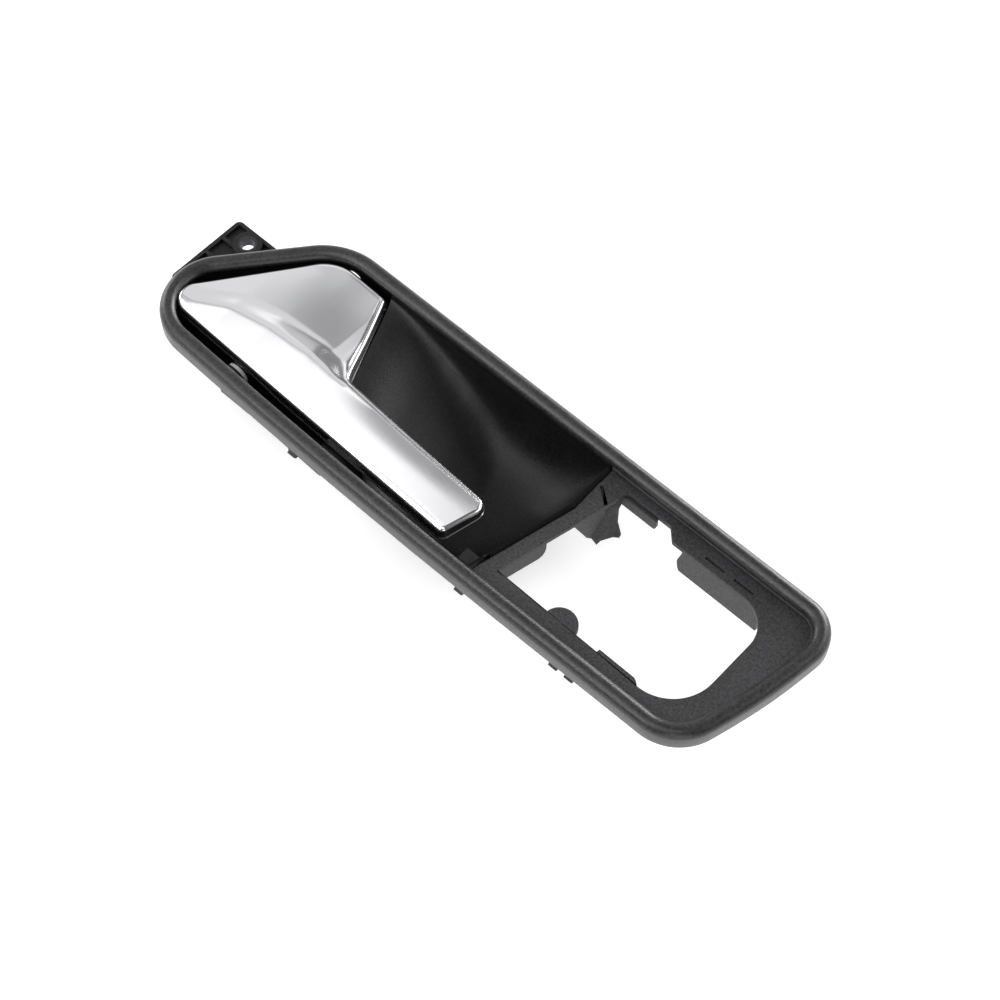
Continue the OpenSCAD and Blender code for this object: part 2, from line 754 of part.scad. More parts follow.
module head_plate() {
    intersection() {
        outline(inset(lever_path, 3.3));
        translate([-far, hub_low]) square([far + head_right_x + 6, hub_high - hub_low]);
    }
}

module cable_arm() {
    difference() {
        union() {
            circle(r = hub_r);
            polygon([[-hub_r, 0], [hub_r, 0], [eye_r + eye_wall, arm_len], [-eye_r - eye_wall, arm_len]]);
            translate([0, arm_len]) circle(r = eye_r + eye_wall);
        }
    }
}

module screw(shank, head_h) {
    difference() {
        union() {
            cylinder(r = screw_head_r, h = head_h);
            cylinder(r = screw_r - 0.03, h = head_h + shank);
        }
        for (a = [0, 90]) rotate(a) translate([-1.5, -0.35, -over]) cube([3, 0.7, over + 0.8]);
    }
}

module lever_screws() {
    color([0.6, 0.6, 0.62])
    for (s = lever_screws_at) translate([s.x, s.y, core_rear]) screw(lever_screw_len, screw_head_h);
}

// Pivot

ear_gap = 0.1;
low_ear = hub_low - bush_flange_t - ear_gap - ear_t;
high_ear = hub_high + bush_flange_t + ear_gap;
pin_head_t = 1.2;
pin_head_r = 3.2;
clip_t = 0.8;
bush_len = 7;

module pivot_pin() {
    color([0.7, 0.7, 0.72])
    difference() {
        union() {
            along_y(low_ear - clip_t - 0.8, high_ear + ear_t + pin_head_t / 2) circle(r = pin_r);
            along_y(high_ear + ear_t, high_ear + ear_t + pin_head_t) circle(r = pin_head_r);
        }
        along_y(low_ear - clip_t - 0.05, low_ear - 0.02)
            difference() {
                circle(r = pin_r + over);
                circle(r = pin_r - 0.5);
            }
    }
}

module pin_clip() {
    color([0.5, 0.5, 0.52])
    along_y(low_ear - clip_t, low_ear - 0.05)
        difference() {
            circle(r = 3.6);
            circle(r = pin_r - 0.45);
            translate([-1.2, 0]) square([2.4, 5]);
        }
}

module bush() {
    difference() {
        union() {
            cylinder(r = bush_flange_r, h = bush_flange_t);
            cylinder(r = pin_r + pin_clearance + bush_wall, h = bush_flange_t + bush_len);
        }
        translate([0, 0, -over]) cylinder(r = pin_r + pin_clearance, h = 3 * over + bush_len + bush_flange_t);
    }
}

module lower_bush() {
    color([0.85, 0.85, 0.82])
    translate([pivot_x, hub_low - bush_flange_t, pivot_z]) rotate([-90, 0, 0]) bush();
}

module upper_bush() {
    color([0.85, 0.85, 0.82])
    translate([pivot_x, hub_high + bush_flange_t, pivot_z]) rotate([90, 0, 0]) bush();
}

// Return spring: a coil round the hub, one leg up to the lever and one leg down to the carrier's floor

spring_foot_z = -pocket_depth + 0.6;
coil_steps = 16;
wire_sides = 6;
coil_from = spring_low + wire_d / 2 + 0.2;
coil_to = spring_high - wire_d / 2 - 0.2;
coil_path = concat(
    [[-coil_r, coil_from, 1 - pivot_z, 180]],
    [for (k = [0 : coil_steps * coil_turns])
        let (a = 180 + 360 * k / coil_steps)
        [coil_r * cos(a), mix(coil_from, coil_to, k / (coil_steps * coil_turns)), coil_r * sin(a), a]],
    [[-coil_r, coil_to, spring_foot_z - pivot_z, 180]]
);

module return_spring() {
    color([0.62, 0.62, 0.65])
    translate([pivot_x, 0, pivot_z]) {
        n = len(coil_path);
        polyhedron(
            points = [for (p = coil_path, j = [0 : wire_sides - 1])
                let (b = 360 * j / wire_sides, r = wire_d / 2 * cos(b))
                [p.x + r * cos(p[3]), p.y + wire_d / 2 * sin(b), p.z + r * sin(p[3])]],
            faces = concat(
                [for (k = [0 : n - 2], j = [0 : wire_sides - 1])
                    let (a = k * wire_sides + j, b = k * wire_sides + (j + 1) % wire_sides)
                    each [[a, b, a + wire_sides], [b, b + wire_sides, a + wire_sides]]],
                [[for (j = [wire_sides - 1 : -1 : 0]) j]],
                [[for (j = [0 : wire_sides - 1]) (n - 1) * wire_sides + j]]
            )
        );
    }
}

// Carrier

bowl_steps = 30;
bowl_rows = 20;
bowl_power = 3.4;
bowl_edge_z = lip_z - carrier_gap;
blade_lip_z = -1.5;
wall_out = rim_wall + carrier_gap;
wall_in = wall_out + carrier_wall;
floor_top = -pocket_depth;
floor_rear = floor_top - carrier_wall;

function signed_pow(v, p) = (v < 0 ? -1 : 1) * pow(abs(v), p);
function lip_z_at(y) = mix(blade_lip_z, bowl_lip_z, smooth((y + 13) / 6));

// Depth of the bowl below its edge, from the lip beside the lever's head (s = 0) to the crossbar (s = 1)
function bowl_fall(s, t) =
    let (
        crease = 0.36 + 0.12 * (1 - t),
        ramp = 0.6 * smooth(s / crease),
        deep = 0.4 * smooth((s - crease + 0.08) / 0.3),
        rise_from = 0.62,
        rise = pow(1 - pow(clamp01((s - rise_from) / (1 - rise_from)), 2.6), 0.5)
    )
    bowl_depth * (ramp + deep) * rise;

function bowl_point(s, angle, grow) =
    let (
        c = signed_pow(cos(angle), 2 / bowl_power),
        n = pow(abs(sin(angle)), 2 / bowl_power),
        t = (c + 1) / 2,
        mid_x = mix(lip_x(0), bar_x(0), s),
        y = mix(bowl_low_y(mid_x) - grow, bowl_top_y() + grow, t),
        x = mix(lip_x(y), bar_x(y), s),
        lip = (bowl_edge_z - lip_z_at(y)) * (1 - smooth(s / 0.25)),
        fall = bowl_fall(s, t) + lip
    )
    [x, y, bowl_edge_z - (fall + grow) * n];

function bowl_s(k) = 0.5 - 0.5 * cos(180 * k / bowl_steps);

module finger_bowl() {
    inner = [for (k = [0 : bowl_steps], j = [0 : bowl_rows])
        bowl_point(bowl_s(k), 180 * j / bowl_rows, 0)];
    outer = [for (k = [0 : bowl_steps], j = [0 : bowl_rows])
        let (p = bowl_point(bowl_s(k), 180 * j / bowl_rows, carrier_wall))
        [p.x + bar_lip_t * smooth((bowl_s(k) - 0.7) / 0.3), p.y, p.z]];
    w = bowl_rows + 1;
    n = len(inner);
    last = bowl_steps * w;
    polyhedron(
        points = concat(inner, outer),
        faces = concat(
            [for (k = [0 : bowl_steps - 1], j = [0 : bowl_rows - 1])
                let (a = k * w + j) each [[a, a + w + 1, a + 1], [a, a + w, a + w + 1]]],
            [for (k = [0 : bowl_steps - 1], j = [0 : bowl_rows - 1])
                let (a = n + k * w + j) each [[a + 1, a + w + 1, a], [a + w + 1, a + w, a]]],
            [for (j = [0 : bowl_rows - 1]) each [[j + 1, n + j, j], [j + 1, n + j + 1, n + j]]],
            [for (j = [0 : bowl_rows - 1])
                let (a = last + j) each [[a, n + a, a + 1], [a + 1, n + a, n + a + 1]]],
            [for (k = [0 : bowl_steps - 1])
                let (a = k * w) each [[a, n + a, a + w], [a + w, n + a, n + a + w]]],
            [for (k = [0 : bowl_steps - 1])
                let (a = k * w + bowl_rows) each [[a + w, n + a, a], [a + w, n + a + w, n + a]]]
        )
    );
}

// Everything to the left of a line beside the bowl's lip
module left_of_lip(gap) {
    polygon([
        [-far, -top_y - 9], [lip_x(-top_y - 9) + gap, -top_y - 9],
        [lip_x(top_y + 9) + gap, top_y + 9], [-far, top_y + 9]
    ]);
}

module left_of_bar() {
    polygon([
        [-far, -top_y - 9], [bar_x(-top_y - 9) + bar_lip_t, -top_y - 9],
        [bar_x(bar_bend_y) + bar_lip_t, bar_bend_y], [bar_x(top_y + 9) + bar_lip_t, top_y + 9],
        [-far, top_y + 9]
    ]);
}

module wall_ring() {
    difference() {
        outline(inset(bezel_path, wall_out));
        outline(inset(bezel_path, wall_in));
    }
}

skirt_rear = -5;
corner_block_l = 5.8;
corner_block_z = 1;
notch_y = opening_low + 1.8;
notch_w = 2.6;
notch_z = 0.8;
slant_in = 6.4;

// Solid form of the pocket: upright sides, and a lower side that slants in towards the floor
module pocket_form(d, bottom, right_gap, top) {
    run = flat(low_mid) - left_low;
    intersection() {
        translate([0, 0, bottom])
            linear_extrude(top - bottom)
                intersection() {
                    outline(inset(bezel_path, d));
                    left_of_lip(right_gap);
                }
        translate([left_low.x, left_low.y, 0])
            rotate(atan2(run.y, run.x))
                rotate([90, 0, 90])
                    linear_extrude(far)
                        polygon([
                            [d, 2 * far], [d, skirt_rear], [d + slant_in, floor_rear],
                            [d + slant_in, -far], [far, -far], [far, 2 * far]
                        ]);
    }
}
bracket_x = left_top_x - left_lean / 2 - bracket_len + 3.5;
bracket_y = -9.8;
fixing_at = [bracket_x + 10.6, bracket_y + 29];
fixing_boss_r = 5.5;
rest_at = [pivot_x + 13, 2];
open_at = [pivot_x - 25, -2];
rest_buffer_top = plate_rear - 0.05;
rest_post_top = -5;
open_buffer_top = pivot_z - (pivot_x - open_at.x + buffer_r) * tan(lever_swing)
    + (plate_rear - pivot_z) / cos(lever_swing) - 0.3;
slot_x0 = pivot_x - 7;
slot_x1 = pivot_x + 13;
slot_y = arm_t / 2 + 1.5;
sheath_x = pivot_x - 33;
sheath_rear = eye_z - 6;
flange_top = bar_boss_z - 0.1;
flange_t = 2.2;
arm_end_r = 3;

module ear(y0) {
    along_y(y0, y0 + ear_t)
        union() {
            circle(r = ear_r);
            polygon([[-ear_r, 0], [ear_r, 0], [ear_r + 2, pocket_depth - pivot_depth + over],
                     [-ear_r - 2, pocket_depth - pivot_depth + over]]);
        }
}

module buffer_post(at, top) {
    translate([at.x, at.y, floor_top - over]) cylinder(r = buffer_r + 1.2, h = top - floor_top + over);
}

module bracket_plate() {
    translate([bracket_x, bracket_y])
        union() {
            translate([2, 0]) square([45, bracket_h]);
            translate([0, 2]) square([20, bracket_h - 4]);
            for (y = [2, bracket_h - 2]) translate([2, y]) circle(r = 2);
        }
}

module bracket_ribs() {
    rib_gap = 8.6;
    difference() {
        union() {
            for (k = [0 : 2])
                translate([bracket_x + 1.5, bracket_y + 7.5 + rib_gap * k]) square([44, rib_t]);
            difference() {
                bracket_plate();
                offset(delta = -rib_t) bracket_plate();
            }
        }
        translate(fixing_at) circle(r = fixing_boss_r - 0.5);
    }
}

module handle_carrier() {
    color([0.06, 0.06, 0.065])
    difference() {
        union() {
            finger_bowl();
            // Pocket under the lever's head
            difference() {
                pocket_form(wall_out, floor_rear, carrier_wall - 0.6, bowl_edge_z);
                pocket_form(wall_in, floor_top, -0.6, far);
                // The wall between pocket and bowl ends under the lip
                translate([0, 0, blade_lip_z - 1])
                    linear_extrude(far)
                        intersection() {
                            outline(inset(bezel_path, wall_in));
                            difference() {
                                left_of_lip(far);
                                left_of_lip(-0.6 - eps);
                            }
                        }
            }
            // Skirts beside the bowl
            translate([0, 0, skirt_rear])
                linear_extrude(bowl_edge_z - skirt_rear)
                    intersection() {
                        wall_ring();
                        left_of_bar();
                    }
            // Corner block between the bowl's end and the crossbar's foot
            translate([bar_x(opening_low) - corner_block_l, bowl_low_y(bar_foot_x) - 0.2, corner_block_z])
                cube([corner_block_l + 0.5, opening_low - bowl_low_y(bar_foot_x), bowl_edge_z - 0.6 - corner_block_z]);
            ear(low_ear);
            ear(high_ear);
            buffer_post(rest_at, rest_post_top);
            // Rib that the spring's foot leans on
            translate([pivot_x - coil_r - wire_d / 2 - 1.7, spring_high - 5, floor_top - over])
                cube([1.6, 5, 5]);
            // Fixing bracket
            translate([0, 0, floor_rear]) linear_extrude(carrier_wall) bracket_plate();
            translate([0, 0, floor_top - over])
                linear_extrude(bracket_rib_h)
                    difference() {
                        bracket_ribs();
                        outline(inset(bezel_path, wall_out + 0.5));
                    }
            translate([fixing_at.x, fixing_at.y, floor_rear])
                cylinder(r = fixing_boss_r, h = carrier_wall + bracket_rib_h);
            // Block that holds the end of the cable's sheath
            translate([sheath_x - 3, arm_y - 8, sheath_rear]) cube([6, 16, floor_rear - sheath_rear + over]);
            translate([sheath_x, arm_y - 8, sheath_rear + 4])
                rotate([-90, 0, 0])
                    linear_extrude(rib_t) polygon([[0, 0], [14, -7.6], [0, -7.6]]);
            translate([sheath_x, arm_y + 8 - rib_t, sheath_rear + 4])
                rotate([-90, 0, 0])
                    linear_extrude(rib_t) polygon([[0, 0], [14, -7.6], [0, -7.6]]);
            // Arms under the ledges for the two screws
            translate([0, 0, flange_top - flange_t])
                linear_extrude(flange_t)
                    intersection() {
                        right_of_bar(-1.4);
                        outline(inset(bezel_path, wall_out));
                        union() {
                            for (k = [0, 1]) {
                                s = bar_screws[k];
                                translate(s) circle(r = arm_end_r);
                                translate([s.x - far, s.y - (k == 0 ? far : arm_end_r)])
                                    square([far, far + arm_end_r]);
                            }
                        }
                    }
        }
        // Bores for the pivot pin, and the hole that its head goes in by
        along_y(low_ear - over, high_ear + ear_t + over) circle(r = pin_r + 0.02);
        along_y(high_ear + ear_t, top_y) circle(r = pin_head_r + 0.4);
        // Notches for the panel hooks
        for (x = hook_x)
            translate([x - hook_w / 2 - carrier_gap, hook_y(x) - carrier_gap, hook_z - over])
                cube([hook_w + 2 * carrier_gap, hook_t + 2 * carrier_gap, far]);
        // Notch in the bowl's end beside the crossbar's foot
        translate([bar_x(notch_y) - 0.6, notch_y - notch_w / 2, notch_z]) cube([far, notch_w, far]);
        // Slot for the cable arm
        translate([slot_x0, arm_y - slot_y, floor_rear - over])
            cube([slot_x1 - slot_x0, 2 * slot_y, carrier_wall + 2 * over]);
        // Slot and seat for the cable's sheath
        translate([sheath_x - 4, arm_y - sheath_slot_w / 2 + 1, sheath_rear - over])
            cube([8, sheath_slot_w - 2, 6 + over]);
        translate([sheath_x - 1.2, arm_y - sheath_slot_w / 2 - 0.6, sheath_rear - over])
            cube([2.4, sheath_slot_w + 1.2, 6 + over]);
        translate([sheath_x - 4, arm_y, eye_z]) rotate([0, 90, 0]) cylinder(r = sheath_slot_w / 2 - 1, h = 8);
        translate([fixing_at.x, fixing_at.y, floor_rear - over])
            cylinder(r = fixing_hole_r + sleeve_wall, h = carrier_wall + bracket_rib_h + 2 * over);
        // Sockets for the buffers
        translate([rest_at.x, rest_at.y, rest_post_top - 2.5]) cylinder(r = 1.5, h = 3);
        translate([open_at.x, open_at.y, floor_rear - over]) cylinder(r = 1.5, h = 3 + carrier_wall);
        carrier_catches(0.35);
        for (s = bar_screws)
            translate([s.x, s.y, flange_top - flange_t - over]) cylinder(r = screw_r + 0.2, h = flange_t + 2 * over);
    }
}

module rest_buffer() {
    color([0.12, 0.12, 0.12])
    translate([rest_at.x, rest_at.y, rest_post_top - 2.4]) {
        cylinder(r = 1.5, h = 3);
        translate([0, 0, 2.4]) cylinder(r = buffer_r, h = rest_buffer_top - rest_post_top);
    }
}

module open_buffer() {
    color([0.12, 0.12, 0.12])
    translate([open_at.x, open_at.y, floor_top]) {
        translate([0, 0, -carrier_wall]) cylinder(r = 1.5, h = carrier_wall + 1);
        cylinder(r = buffer_r, h = open_buffer_top - floor_top);
    }
}

module carrier_screws() {
    color([0.6, 0.6, 0.62])
    for (s = bar_screws)
        translate([s.x, s.y, flange_top - flange_t - screw_head_h]) screw(carrier_screw_len, screw_head_h);
}

module bracket_sleeve() {
    color([0.7, 0.7, 0.7])
    translate([fixing_at.x, fixing_at.y, floor_rear])
        difference() {
            cylinder(r = fixing_hole_r + sleeve_wall - 0.01, h = carrier_wall + bracket_rib_h);
            translate([0, 0, -over]) cylinder(r = fixing_hole_r, h = carrier_wall + bracket_rib_h + 2 * over);
        }
}

bezel_frame();
handle_carrier();
pull_lever();
lever_core();
lever_screws();
pivot_pin();
pin_clip();
lower_bush();
upper_bush();
return_spring();
rest_buffer();
open_buffer();
carrier_screws();
bracket_sleeve();
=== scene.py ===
# %% [markdown]
# # A car's interior door handle
# The object is a long black bezel with a chrome pull lever at one end, a finger bowl in the middle and an empty
# opening for the switch panel at the other end. The CAD model holds every true size and every moving piece, so it is
# loaded first and stays as the fixed frame. Blender adds what the CAD solids leave out: round edges, the soft-touch
# paint, the grain of the mouldings and the satin of the chrome plate.

# %% Load the frame
import json
import math

import bmesh
import bpy
import numpy as np
from mathutils import Matrix, Vector


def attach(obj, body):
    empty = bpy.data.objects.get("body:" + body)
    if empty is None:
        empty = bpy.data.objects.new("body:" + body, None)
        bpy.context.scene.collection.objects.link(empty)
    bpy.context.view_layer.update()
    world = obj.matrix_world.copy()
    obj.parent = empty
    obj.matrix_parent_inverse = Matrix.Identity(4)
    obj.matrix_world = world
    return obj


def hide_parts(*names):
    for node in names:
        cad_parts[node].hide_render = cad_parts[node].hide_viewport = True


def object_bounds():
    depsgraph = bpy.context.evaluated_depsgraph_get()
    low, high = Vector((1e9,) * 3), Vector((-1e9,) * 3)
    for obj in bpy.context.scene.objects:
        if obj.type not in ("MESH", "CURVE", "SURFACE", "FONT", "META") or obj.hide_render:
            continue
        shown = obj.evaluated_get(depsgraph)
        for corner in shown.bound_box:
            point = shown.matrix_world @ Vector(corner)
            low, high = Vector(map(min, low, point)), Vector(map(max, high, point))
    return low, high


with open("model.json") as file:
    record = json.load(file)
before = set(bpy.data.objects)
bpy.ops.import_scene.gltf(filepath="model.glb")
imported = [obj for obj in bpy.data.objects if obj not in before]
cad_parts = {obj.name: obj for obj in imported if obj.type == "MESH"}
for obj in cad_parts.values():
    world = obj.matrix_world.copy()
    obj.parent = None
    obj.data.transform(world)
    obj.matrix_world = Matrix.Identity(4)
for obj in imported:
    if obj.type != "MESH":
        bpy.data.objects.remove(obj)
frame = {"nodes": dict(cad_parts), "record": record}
cad_low, cad_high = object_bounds()
MM = 0.001

# %% [markdown]
# The camera stands where the photographer stood: a long lens about 72 cm away, 30 degrees off the straight-on
# view. Its three axes are written as columns of a rotation matrix, because that keeps the picture from rolling.

# %% Camera
LOOK_AT = Vector((16.4, -7.13, 8.5)) * MM
CAMERA_RIGHT = Vector((0.7337, 0.6794, 0.0)).normalized()
CAMERA_BACK = Vector((0.3397, -0.3669, 0.8660)).normalized()
CAMERA_UP = CAMERA_BACK.cross(CAMERA_RIGHT)
CAMERA_DISTANCE = 0.72

camera = bpy.data.objects.new("camera", bpy.data.cameras.new("camera"))
camera.data.sensor_width = 36.0
camera.data.lens = 78.8
camera.data.clip_start = 0.01
camera.location = LOOK_AT + CAMERA_BACK * CAMERA_DISTANCE
camera.rotation_mode = "QUATERNION"
camera.rotation_quaternion = Matrix((CAMERA_RIGHT, CAMERA_UP, CAMERA_BACK)).transposed().to_quaternion()
bpy.context.scene.collection.objects.link(camera)
bpy.context.scene.camera = camera
print("camera", [round(v, 3) for v in camera.location])

# %% [markdown]
# Shader maths reads best as plain expressions. The class below holds one socket of one material, and each operator
# adds the Math node that it stands for. Any other node comes from `add_node`, which sets the node's options before
# it fills the sockets. A socket goes by its name, or by its number where two share a name: i0 is the first.

# %% A socket that can be calculated with
class Wire:
    def __init__(self, tree, socket):
        self.tree, self.socket = tree, socket

    def maths(self, operation, first, second):
        return add_node(self.tree, "ShaderNodeMath", {"operation": operation}, i0=first, i1=second)

    def __add__(self, other):
        return self.maths("ADD", self, other)

    def __radd__(self, other):
        return self.maths("ADD", other, self)

    def __sub__(self, other):
        return self.maths("SUBTRACT", self, other)

    def __rsub__(self, other):
        return self.maths("SUBTRACT", other, self)

    def __mul__(self, other):
        return self.maths("MULTIPLY", self, other)

    def __rmul__(self, other):
        return self.maths("MULTIPLY", other, self)


def add_node(tree, kind, options=None, out=0, **sockets):
    node = tree.nodes.new(kind)
    for key, value in (options or {}).items():
        setattr(node, key, value)
    for name, value in sockets.items():
        socket = node.inputs[int(name[1:]) if name[1:].isdigit() else name]
        if isinstance(value, Wire):
            tree.links.new(value.socket, socket)
        else:
            socket.default_value = value
    return Wire(tree, node.outputs[out])


# %% [markdown]
# Every finish starts as Blender's own Principled shader. Its fixed values go straight on its sockets. What varies
# comes from noise that is fixed to the object, so it stays where it is when the lever turns.

# %% Start of every finish
NOISE_ROUGHNESS = 0.55


def finish_of(name, colour, roughness, metallic=0.0, specular=0.5):
    """A new material with its fixed values set on the shader's own sockets."""
    material = bpy.data.materials.new(name)
    material.use_nodes = True
    shader = material.node_tree.nodes["Principled BSDF"]
    shader.inputs["Base Color"].default_value = (*colour, 1.0)
    shader.inputs["Roughness"].default_value = roughness
    shader.inputs["Metallic"].default_value = metallic
    shader.inputs["Specular IOR Level"].default_value = specular
    return material, material.node_tree, shader


def noise_at(tree, size_mm, detail):
    """Noise whose blobs are about size_mm across, fixed to the object."""
    place = add_node(tree, "ShaderNodeTexCoord", out=3)
    return add_node(tree, "ShaderNodeTexNoise", {}, Vector=place, Scale=1 / (size_mm * MM), Detail=detail,
                    Roughness=NOISE_ROUGHNESS)


def bump(tree, shader, height, depth_mm):
    normal = add_node(tree, "ShaderNodeBump", {}, Height=height, Distance=depth_mm * MM, Strength=1.0)
    tree.links.new(normal.socket, shader.inputs["Normal"])


print("noise roughness", NOISE_ROUGHNESS)

# %% [markdown]
# In one flat black, the mouldings would all look the same. What tells them apart is their gloss and grain: soft-touch
# paint on the rim, a coarser grain on the ledge, a darker one in the bowl, and glass-filled nylon behind. The bushes
# are white acetal. One noise raises the grain, one makes the specks of lighter and darker colour that the
# photograph shows on the ledge, and a wide one keeps the gloss from being the same everywhere.

# %% Moulded plastics
CLOUD_MM, SPECK_MM = 14.0, 0.9
SPECK_DARK, SPECK_LIGHT = 0.45, 1.55


def moulded(name, colour, roughness, grain_mm, grain_depth, specular):
    """A black moulding gets specks of colour too. A white one keeps its colour and only has grain and gloss."""
    material, tree, shader = finish_of(name, colour, roughness, specular=specular)
    grain = noise_at(tree, grain_mm, 2.0)
    cloud = noise_at(tree, CLOUD_MM, 2.0)
    rough = (cloud - 0.5) * 0.08 + (grain - 0.5) * 0.10 + roughness
    tree.links.new(rough.socket, shader.inputs["Roughness"])
    if max(colour) < 0.5:
        speckle = (noise_at(tree, SPECK_MM, 2.0) - 0.5) * 3.0 + (cloud - 0.5) * 0.8 + 0.5
        dark, light = [(*(v * k for v in colour), 1.0) for k in (SPECK_DARK, SPECK_LIGHT)]
        tint = add_node(tree, "ShaderNodeMix", {"data_type": "RGBA"}, out=2, i0=speckle, i6=dark, i7=light)
        tree.links.new(tint.socket, shader.inputs["Base Color"])
    bump(tree, shader, grain, grain_depth)
    return material


soft_touch = moulded("soft_touch_paint", (0.020, 0.0185, 0.019), 0.31, 0.40, 0.09, 0.5)
ledge_finish = moulded("grained_ledge", (0.026, 0.026, 0.028), 0.50, 0.50, 0.16, 0.4)
bowl_finish = moulded("grained_bowl", (0.006, 0.006, 0.0065), 0.42, 0.45, 0.12, 0.35)
nylon_finish = moulded("black_nylon", (0.014, 0.014, 0.015), 0.48, 0.8, 0.03, 0.45)
acetal_finish = moulded("white_acetal", (0.90, 0.89, 0.86), 0.38, 1.2, 0.02, 0.5)
rubber_finish = moulded("black_rubber", (0.012, 0.012, 0.012), 0.62, 0.5, 0.03, 0.35)
print("plastics", soft_touch.name, ledge_finish.name, bowl_finish.name, nylon_finish.name, acetal_finish.name,
      rubber_finish.name)

# %% [markdown]
# The lever's plate is satin chrome. Real satin comes from a very fine blasted texture under the plate, which a
# slightly uneven roughness copies well: the reflections stay soft, with faint clouds in them. The screws, the spring
# and the pin are steel, so they take the same recipe, rougher and darker.

# %% Metals
def metal(name, colour, roughness, cloud_mm, spread):
    material, tree, shader = finish_of(name, colour, roughness, metallic=1.0)
    cloud = noise_at(tree, cloud_mm, 3.0)
    fine = noise_at(tree, 0.5, 2.0)
    rough = (cloud - 0.5) * spread + (fine - 0.5) * spread * 0.12 + roughness
    tree.links.new(rough.socket, shader.inputs["Roughness"])
    return material


chrome_finish = metal("satin_chrome", (0.90, 0.90, 0.92), 0.18, 14.0, 0.03)
zinc_finish = metal("zinc_steel", (0.60, 0.60, 0.62), 0.34, 3.0, 0.12)
spring_finish = metal("spring_steel", (0.42, 0.42, 0.44), 0.36, 2.0, 0.10)
# Painted shade: this near-black steel goes on the pin, its clip and the sleeve, because they sit in dark gaps.
gap_shade_finish = metal("gap_shade_steel", (0.07, 0.07, 0.075), 0.42, 2.0, 0.10)
print("metals", chrome_finish.name, zinc_finish.name, spring_finish.name, gap_shade_finish.name)

# %% [markdown]
# The bezel's outline is six corner points, each with its own radius. The same list drives everything that runs
# parallel to it, because an inset outline keeps the same centres and only changes its radii.

# %% Outline tools
TOP_LEN, LEFT_LEAN, RIGHT_LEAN = 226.7, 57.1, 14.4
LEFT_H, RIGHT_H = 69.5, 71.2
TOP_Y = (LEFT_H + RIGHT_H) / 4
LEFT_TOP_X = -TOP_LEN / 2 + (LEFT_LEAN + RIGHT_LEAN) / 4
RIGHT_TOP_X = LEFT_TOP_X + TOP_LEN
LEFT_LOW = np.array([LEFT_TOP_X - LEFT_LEAN, TOP_Y - LEFT_H])
RIGHT_LOW = np.array([RIGHT_TOP_X - RIGHT_LEAN, TOP_Y - RIGHT_H])
LOW_MID = LEFT_LOW + (RIGHT_LOW - LEFT_LOW) * 0.446 - [0, 3.6]
RIGHT_MID = np.array([RIGHT_TOP_X - RIGHT_LEAN / 2 + 2.8, TOP_Y - RIGHT_H / 2])
BEZEL = [
    (*LEFT_LOW, 21.0), (*LOW_MID, 2700.0), (*RIGHT_LOW, 19.5),
    (*RIGHT_MID, 200.0), (RIGHT_TOP_X, TOP_Y, 14.0), (LEFT_TOP_X, TOP_Y, 28.5),
]


def unit(v):
    return v / np.linalg.norm(v)


def cross(a, b):
    return a[0] * b[1] - a[1] * b[0]


def corner(path, i):
    """Centre, first angle, turn and radius of the arc at corner i."""
    before, here, after = (np.array(path[(i + k) % len(path)][:2]) for k in (-1, 0, 1))
    a, b = unit(here - before), unit(after - here)
    turn = math.atan2(cross(a, b), a @ b)
    r = path[i][2]
    first = here - a * r * math.tan(abs(turn) / 2)
    side = np.array([-a[1], a[0]]) * (1 if turn > 0 else -1)
    centre = first + side * r
    return centre, math.atan2(*(first - centre)[::-1]), turn, r


def inset(path, d):
    """Every side moved inwards by d, with the round corners kept concentric."""
    out = []
    for i in range(len(path)):
        before, here, after = (np.array(path[(i + k) % len(path)][:2]) for k in (-1, 0, 1))
        a, b = unit(here - before), unit(after - here)
        p, q = here + np.array([-a[1], a[0]]) * d, here + np.array([-b[1], b[0]]) * d
        meet = p + a * (cross(q - p, b) / cross(a, b))
        out.append((*meet, max(0.1, path[i][2] + (-d if cross(a, b) > 0 else d))))
    return out


def places(path, step=3.0):
    """[centre x, centre y, angle, radius] at every point of the outline's arcs."""
    out = []
    for i in range(len(path)):
        c, a0, turn, r = corner(path, i)
        steps = max(4, math.ceil(math.degrees(abs(turn)) / step))
        out += [(c[0], c[1], a0 + turn * k / steps, r) for k in range(steps + 1)]
    return out


def rounded(path, step=3.0):
    return np.array([(x + r * math.cos(a), y + r * math.sin(a)) for x, y, a, r in places(path, step)])


print("outline from", rounded(BEZEL).min(0).round(1), "to", rounded(BEZEL).max(0).round(1))

# %% [markdown]
# Most pieces start from an edge of the bezel, so two small functions give its lower and its left side at any place.
# `smooth` is the soft step that every gentle change of height below is made with.

# %% Edges and steps
def low_y(x):
    """Lower side of the bezel's outline at x."""
    a, b = (LEFT_LOW, LOW_MID) if x < LOW_MID[0] else (LOW_MID, RIGHT_LOW)
    return a[1] + (b[1] - a[1]) * (x - a[0]) / (b[0] - a[0])


def left_x(y):
    return LEFT_TOP_X - (TOP_Y - y) * LEFT_LEAN / LEFT_H


def smooth(t):
    t = np.clip(t, 0.0, 1.0)
    return t * t * (3 - 2 * t)


def dense(line, step=0.6):
    """A closed outline with points no further apart than step."""
    out = []
    for p, q in zip(line, np.roll(line, -1, axis=0)):
        n = max(1, math.ceil(np.linalg.norm(q - p) / step))
        out += [p + (q - p) * k / n for k in range(n)]
    return np.array(out)


print("lower side at the middle", round(low_y(0), 1), "left side at mid height", round(left_x(0), 1))

# %% [markdown]
# Two kinds of mesh make nearly every piece. The first joins rows of points with faces: a rim is rows round a path,
# and a lever or a bowl is rows across its length. Every piece is shaded smooth up to a chosen angle, gets its finish
# and rides on the body that carries it.

